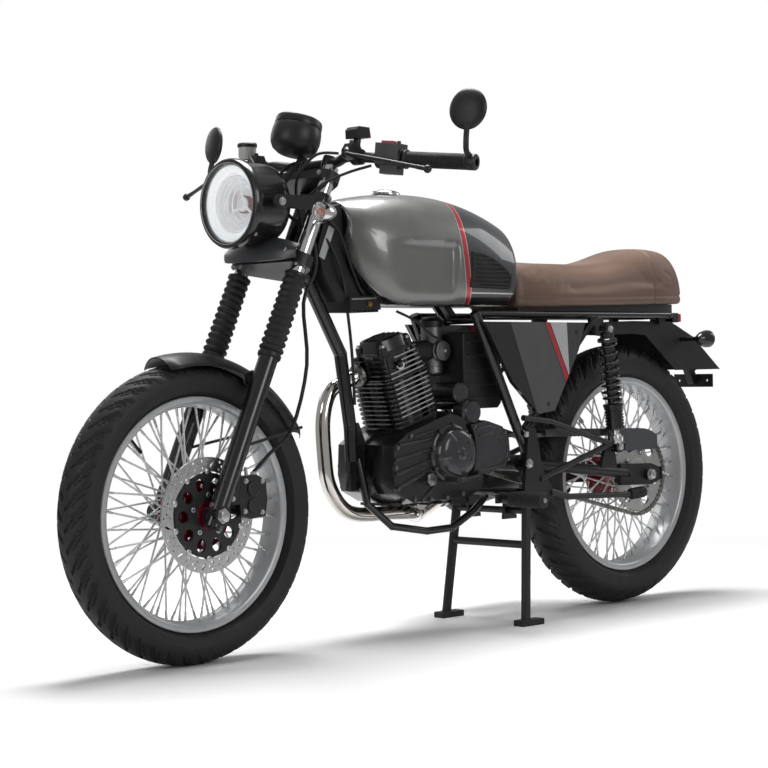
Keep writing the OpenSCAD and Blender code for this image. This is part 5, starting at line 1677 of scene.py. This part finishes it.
# ---------------------------------------------------------------- rear shock absorbers
# Gas shocks in black with wound springs. Below each spring sit an adjusting collar and a finned
# reservoir, and rubber bushed eyes hold both ends.
shocks = Kit()
for side in (-1, 1):
    low, high = at(136, 124 * side, 398), at(168, 124 * side, 682)
    rise = (high - low).normalized()
    tall = (high - low).length / mm
    for eye in (low, high):
        shocks.add(spun(eye, [(6.9, -12), (13, -12), (14, -11), (14, 11), (13, 12), (6.9, 12)], 36,
                        LEFT), 0)
        shocks.add(spun(eye, [(0.1, -12), (6.8, -12), (6.8, 12), (0.1, 12)], 24, LEFT), 0)
        outward = LEFT * side
        shocks.add(bolt(eye + outward * (12 * mm), outward, 7, 4.4), 1)
    shocks.add(spun(low, [(0.1, 8), (13, 8), (14, 12), (14, 26), (12, 30), (0.1, 30)], 32, rise), 1)
    shocks.add(spun(low, [(0.1, 28), (9, 28), (9, 44), (0.1, 44)], 28, rise), 2)
    ribbed = [(0.1, 42), (22, 42), (23, 44)]
    for k in range(6):
        s = 47 + 7.4 * k
        ribbed += [(23, s), (23, s + 3.2), (20.6, s + 3.8), (20.6, s + 6.8)]
    ribbed += [(23, 92), (23, 97), (24.5, 98), (24.5, 104), (22, 105), (0.1, 105)]
    shocks.add(spun(low, ribbed, 48, rise), 0)
    shocks.add(spun(low, [(0.1, 104), (13, 104), (13, 200), (15.5, 201), (15.5, tall - 20),
                          (0.1, tall - 20)], 36, rise), 0)
    side_a = rise.orthogonal().normalized()
    side_b = rise.cross(side_a)
    s0, s1, turns, steps = 109, tall - 30, 8.5, 20
    coil = []
    for k in range(int(turns * steps) + 1):
        c, s = turn(360 / steps * k)
        t = k / (turns * steps)
        rate = 0.75 * t + 0.25 * t * t
        coil.append(low + rise * ((s0 + (s1 - s0) * rate) * mm)
                    + (side_a * c + side_b * s) * (20.2 * mm))
    shocks.add(pipe(coil, 3.9, 12), 0)
    shocks.add(spun(low, [(0.1, tall - 31), (23, tall - 31), (24, tall - 29), (24, tall - 24),
                          (21, tall - 21), (17, tall - 20), (16.6, tall - 8), (0.1, tall - 8)], 48,
                    rise), 0)
shocks.done("gas_shocks", [gloss_black, steel, chrome], "frame", "shock_black",
            stands_for=["shock_absorbers"])

# ---------------------------------------------------------------- drive chain
# A 12.7 mm pitch roller chain round both chain wheels: inner and outer plates by turns, with a
# roller and a riveted pin at every joint.
to_front, big, small = Vector((560, 76)), 99.5, 39.5      # between the shafts, and both radii
base = math.atan2(to_front.y, to_front.x)
half_wrap = math.acos((big - small) / to_front.length)
straight = math.sqrt(to_front.length ** 2 - (big - small) ** 2)
round_front, round_rear = small * 2 * half_wrap, big * (2 * math.pi - 2 * half_wrap)
loop_length = 2 * straight + round_front + round_rear


def on_loop(s):
    """A joint of the chain, s millimetres round the loop from the top of the rear wheel."""
    s %= loop_length
    if s < straight:
        a = base + half_wrap
        way = a - math.pi / 2
        return Vector((big * math.cos(a) + s * math.cos(way), 324 + big * math.sin(a)
                       + s * math.sin(way)))
    s -= straight
    if s < round_front:
        a = base + half_wrap - s / small
        return Vector((560 + small * math.cos(a), 400 + small * math.sin(a)))
    s -= round_front
    a = base - half_wrap
    if s < straight:
        way = a - math.pi / 2
        return Vector((560 + small * math.cos(a) + s * math.cos(way), 400 + small * math.sin(a)
                       + s * math.sin(way)))
    a -= (s - straight) / big
    return Vector((big * math.cos(a), 324 + big * math.sin(a)))


links, chain_line = 124, 74       # the chain's middle plane in y
joints = [on_loop(loop_length * k / links) for k in range(links)]
chain = Kit()
for link in range(links):
    a, b = joints[link], joints[(link + 1) % links]
    along = (b - a).normalized()
    across = Vector((-along.y, along.x))
    outline = []
    for middle, first in ((b, -75), (a, 105)):
        for k in range(6):
            c, s = turn(first + 30 * k)
            outline.append(middle + along * (4.9 * c) + across * (4.9 * s))
    outline.insert(6, (a + b) / 2 + across * 3.6)
    outline.append((a + b) / 2 - across * 3.6)
    stand, plate = 3.1 if link % 2 else 4.6, 1.3   # inner plates stand closer than outer ones
    for y in (chain_line - stand - plate, chain_line + stand):
        chain.add(slab([(p.x, p.y) for p in outline], y, y + plate))
    chain.add(rod(at(a.x, 70.9, a.y), at(a.x, 77.1, a.y), 4.0, 4.0, 12))
    chain.add(rod(at(a.x, 68.1, a.y), at(a.x, 79.9, a.y), 2.0, 2.0, 8))
chain_steel = painted("oiled_chain_steel", (0.3, 0.29, 0.27), 0.34, metal=1, fleck=0.25)
chain.done("roller_chain", chain_steel, "frame", "chain_steel", stands_for=["drive_chain"])

wheel_holes = ring_of_holes(6, 70, 18, 22, 10, 0.66, 90)
outline = []
teeth = 49
for k in range(teeth * 4):
    c, s = turn(360 * k / (teeth * 4))
    r = (94, 93, 88.5, 93)[k % 4]       # tip, flank, root, flank
    outline.append((r * c, r * s))
cog = Kit().add(pierced(outline, [circle(40, 40)] + wheel_holes, 71.4, 76.6, beside(rear_axle)))
for k in range(6):
    cog.add(bolt(on_wheel(rear_axle, 54, 60 * k + 40, 76.6), LEFT, 5.6, 5))
cog.add(spun(rear_axle, [(7.7, 58.2), (39.9, 58.2), (39.9, 76), (30, 79), (7.7, 79)], 64))
cog.done("rear_cog", steel, "rear_wheel", "sprocket_steel", bevel=0.3,
         stands_for=["rear_sprocket"])

slate_plastic = painted("slate_moulding", (0.06, 0.063, 0.07), 0.34, coat=0.2, peel=0.15)
repaint("chain_guard", slate_plastic)

# ---------------------------------------------------------------- foot pegs and stand
# Ribbed rubber pegs on the hangers, two folded pegs for a passenger, and the welded centre
# stand. Hangers and stand keep their drawn shape under satin black.
repaint("peg_hangers", satin_black)
repaint("centre_stand", satin_black)
peg_rubber = rubber("peg_rubber", 0.12)
pegs = Kit()
for side in (-1, 1):
    root, tip = at(546, 149 * side, 296), at(540, 248.5 * side, 296)
    outline = [(0.1, 0), (14, 0), (14, 4), (17.6, 5)]
    for k in range(11):
        s = 7 + 7.9 * k
        outline += [(17.6, s), (17.6, s + 4.6), (15.8, s + 5.4), (15.8, s + 7.2)]
    outline += [(17.6, 94), (17.6, 98), (16, 99.6), (0.1, 99.6)]
    pegs.add(spun(root, outline, 36, tip - root), 1)
    pegs.add(rod(at(546, 126 * side, 296), root, 10, 10, 28), 0)
    pegs.add(bolt(tip, tip - root, 4.6, 3), 2)
    a, b = at(90, 124 * side, 280), at(36.5, 124 * side, 284)
    outline = [(0.1, 0), (9, 0), (12.5, 3)]
    for k in range(6):
        s = 5 + 7 * k
        outline += [(14, s), (14, s + 4), (12.4, s + 4.8), (12.4, s + 6.2)]
    outline += [(14, 48), (13, 52), (0.1, 53)]
    pegs.add(spun(a, outline, 32, b - a), 1)
    pegs.add(bolt(at(462, 125.6 * side, 440), LEFT * side, 6, 4), 2)
    pegs.add(bolt(at(454, 125.6 * side, 372), LEFT * side, 9, 5), 2)
shift = smooth([at(604, 104, 352), at(622, 116, 350), at(672, 124, 346), at(724, 132, 348)], 7)
pegs.add(pipe(shift, 5, 14), 0)
pegs.add(rod(at(604, 96, 352), at(604, 112, 352), 10, 10, 24), 0)
pegs.add(rod(at(724, 126, 348), at(724, 162, 348), 8.5, 8, 22), 1)
pegs.done("foot_pegs", [satin_black, peg_rubber, steel], "frame", "peg_black", bevel=0.4,
          stands_for=["footpegs"])

# ---------------------------------------------------------------- tail
# Steel mudguard in satin black with a short tail, a red tail lamp under the seat, and a plate
# bracket with a reflector that faces back. The plate is left blank.
repaint("rear_fender", satin_black)
repaint("plate_bracket", satin_black)
red_glass = painted("red_lamp_glass", (0.42, 0.012, 0.014), 0.14, coat=1)
lamp = Kit()
lamp.add(slab([(-223, 701), (-201, 701), (-199.5, 704), (-199.5, 724), (-201, 725.6),
               (-223, 725.6)], -37.6, 37.6), 1)
lamp.add(slab([(-235.6, 703), (-222, 701.6), (-222, 725), (-235.6, 722)], -36.4, 36.4), 0)
lamp.add(slab([(-200, 708.6), (-186.6, 708.6), (-186.6, 724.8), (-200, 724.8)], -13.8, 13.8), 1)
lamp.add(slab([(-335.4, 543), (-332, 543), (-332, 557), (-335.4, 557)], -38, 38), 0)
lamp.done("tail_lamp_red", [red_glass, gloss_black], "frame", "lens_red", bevel=1.6,
          stands_for=["tail_lamp"])
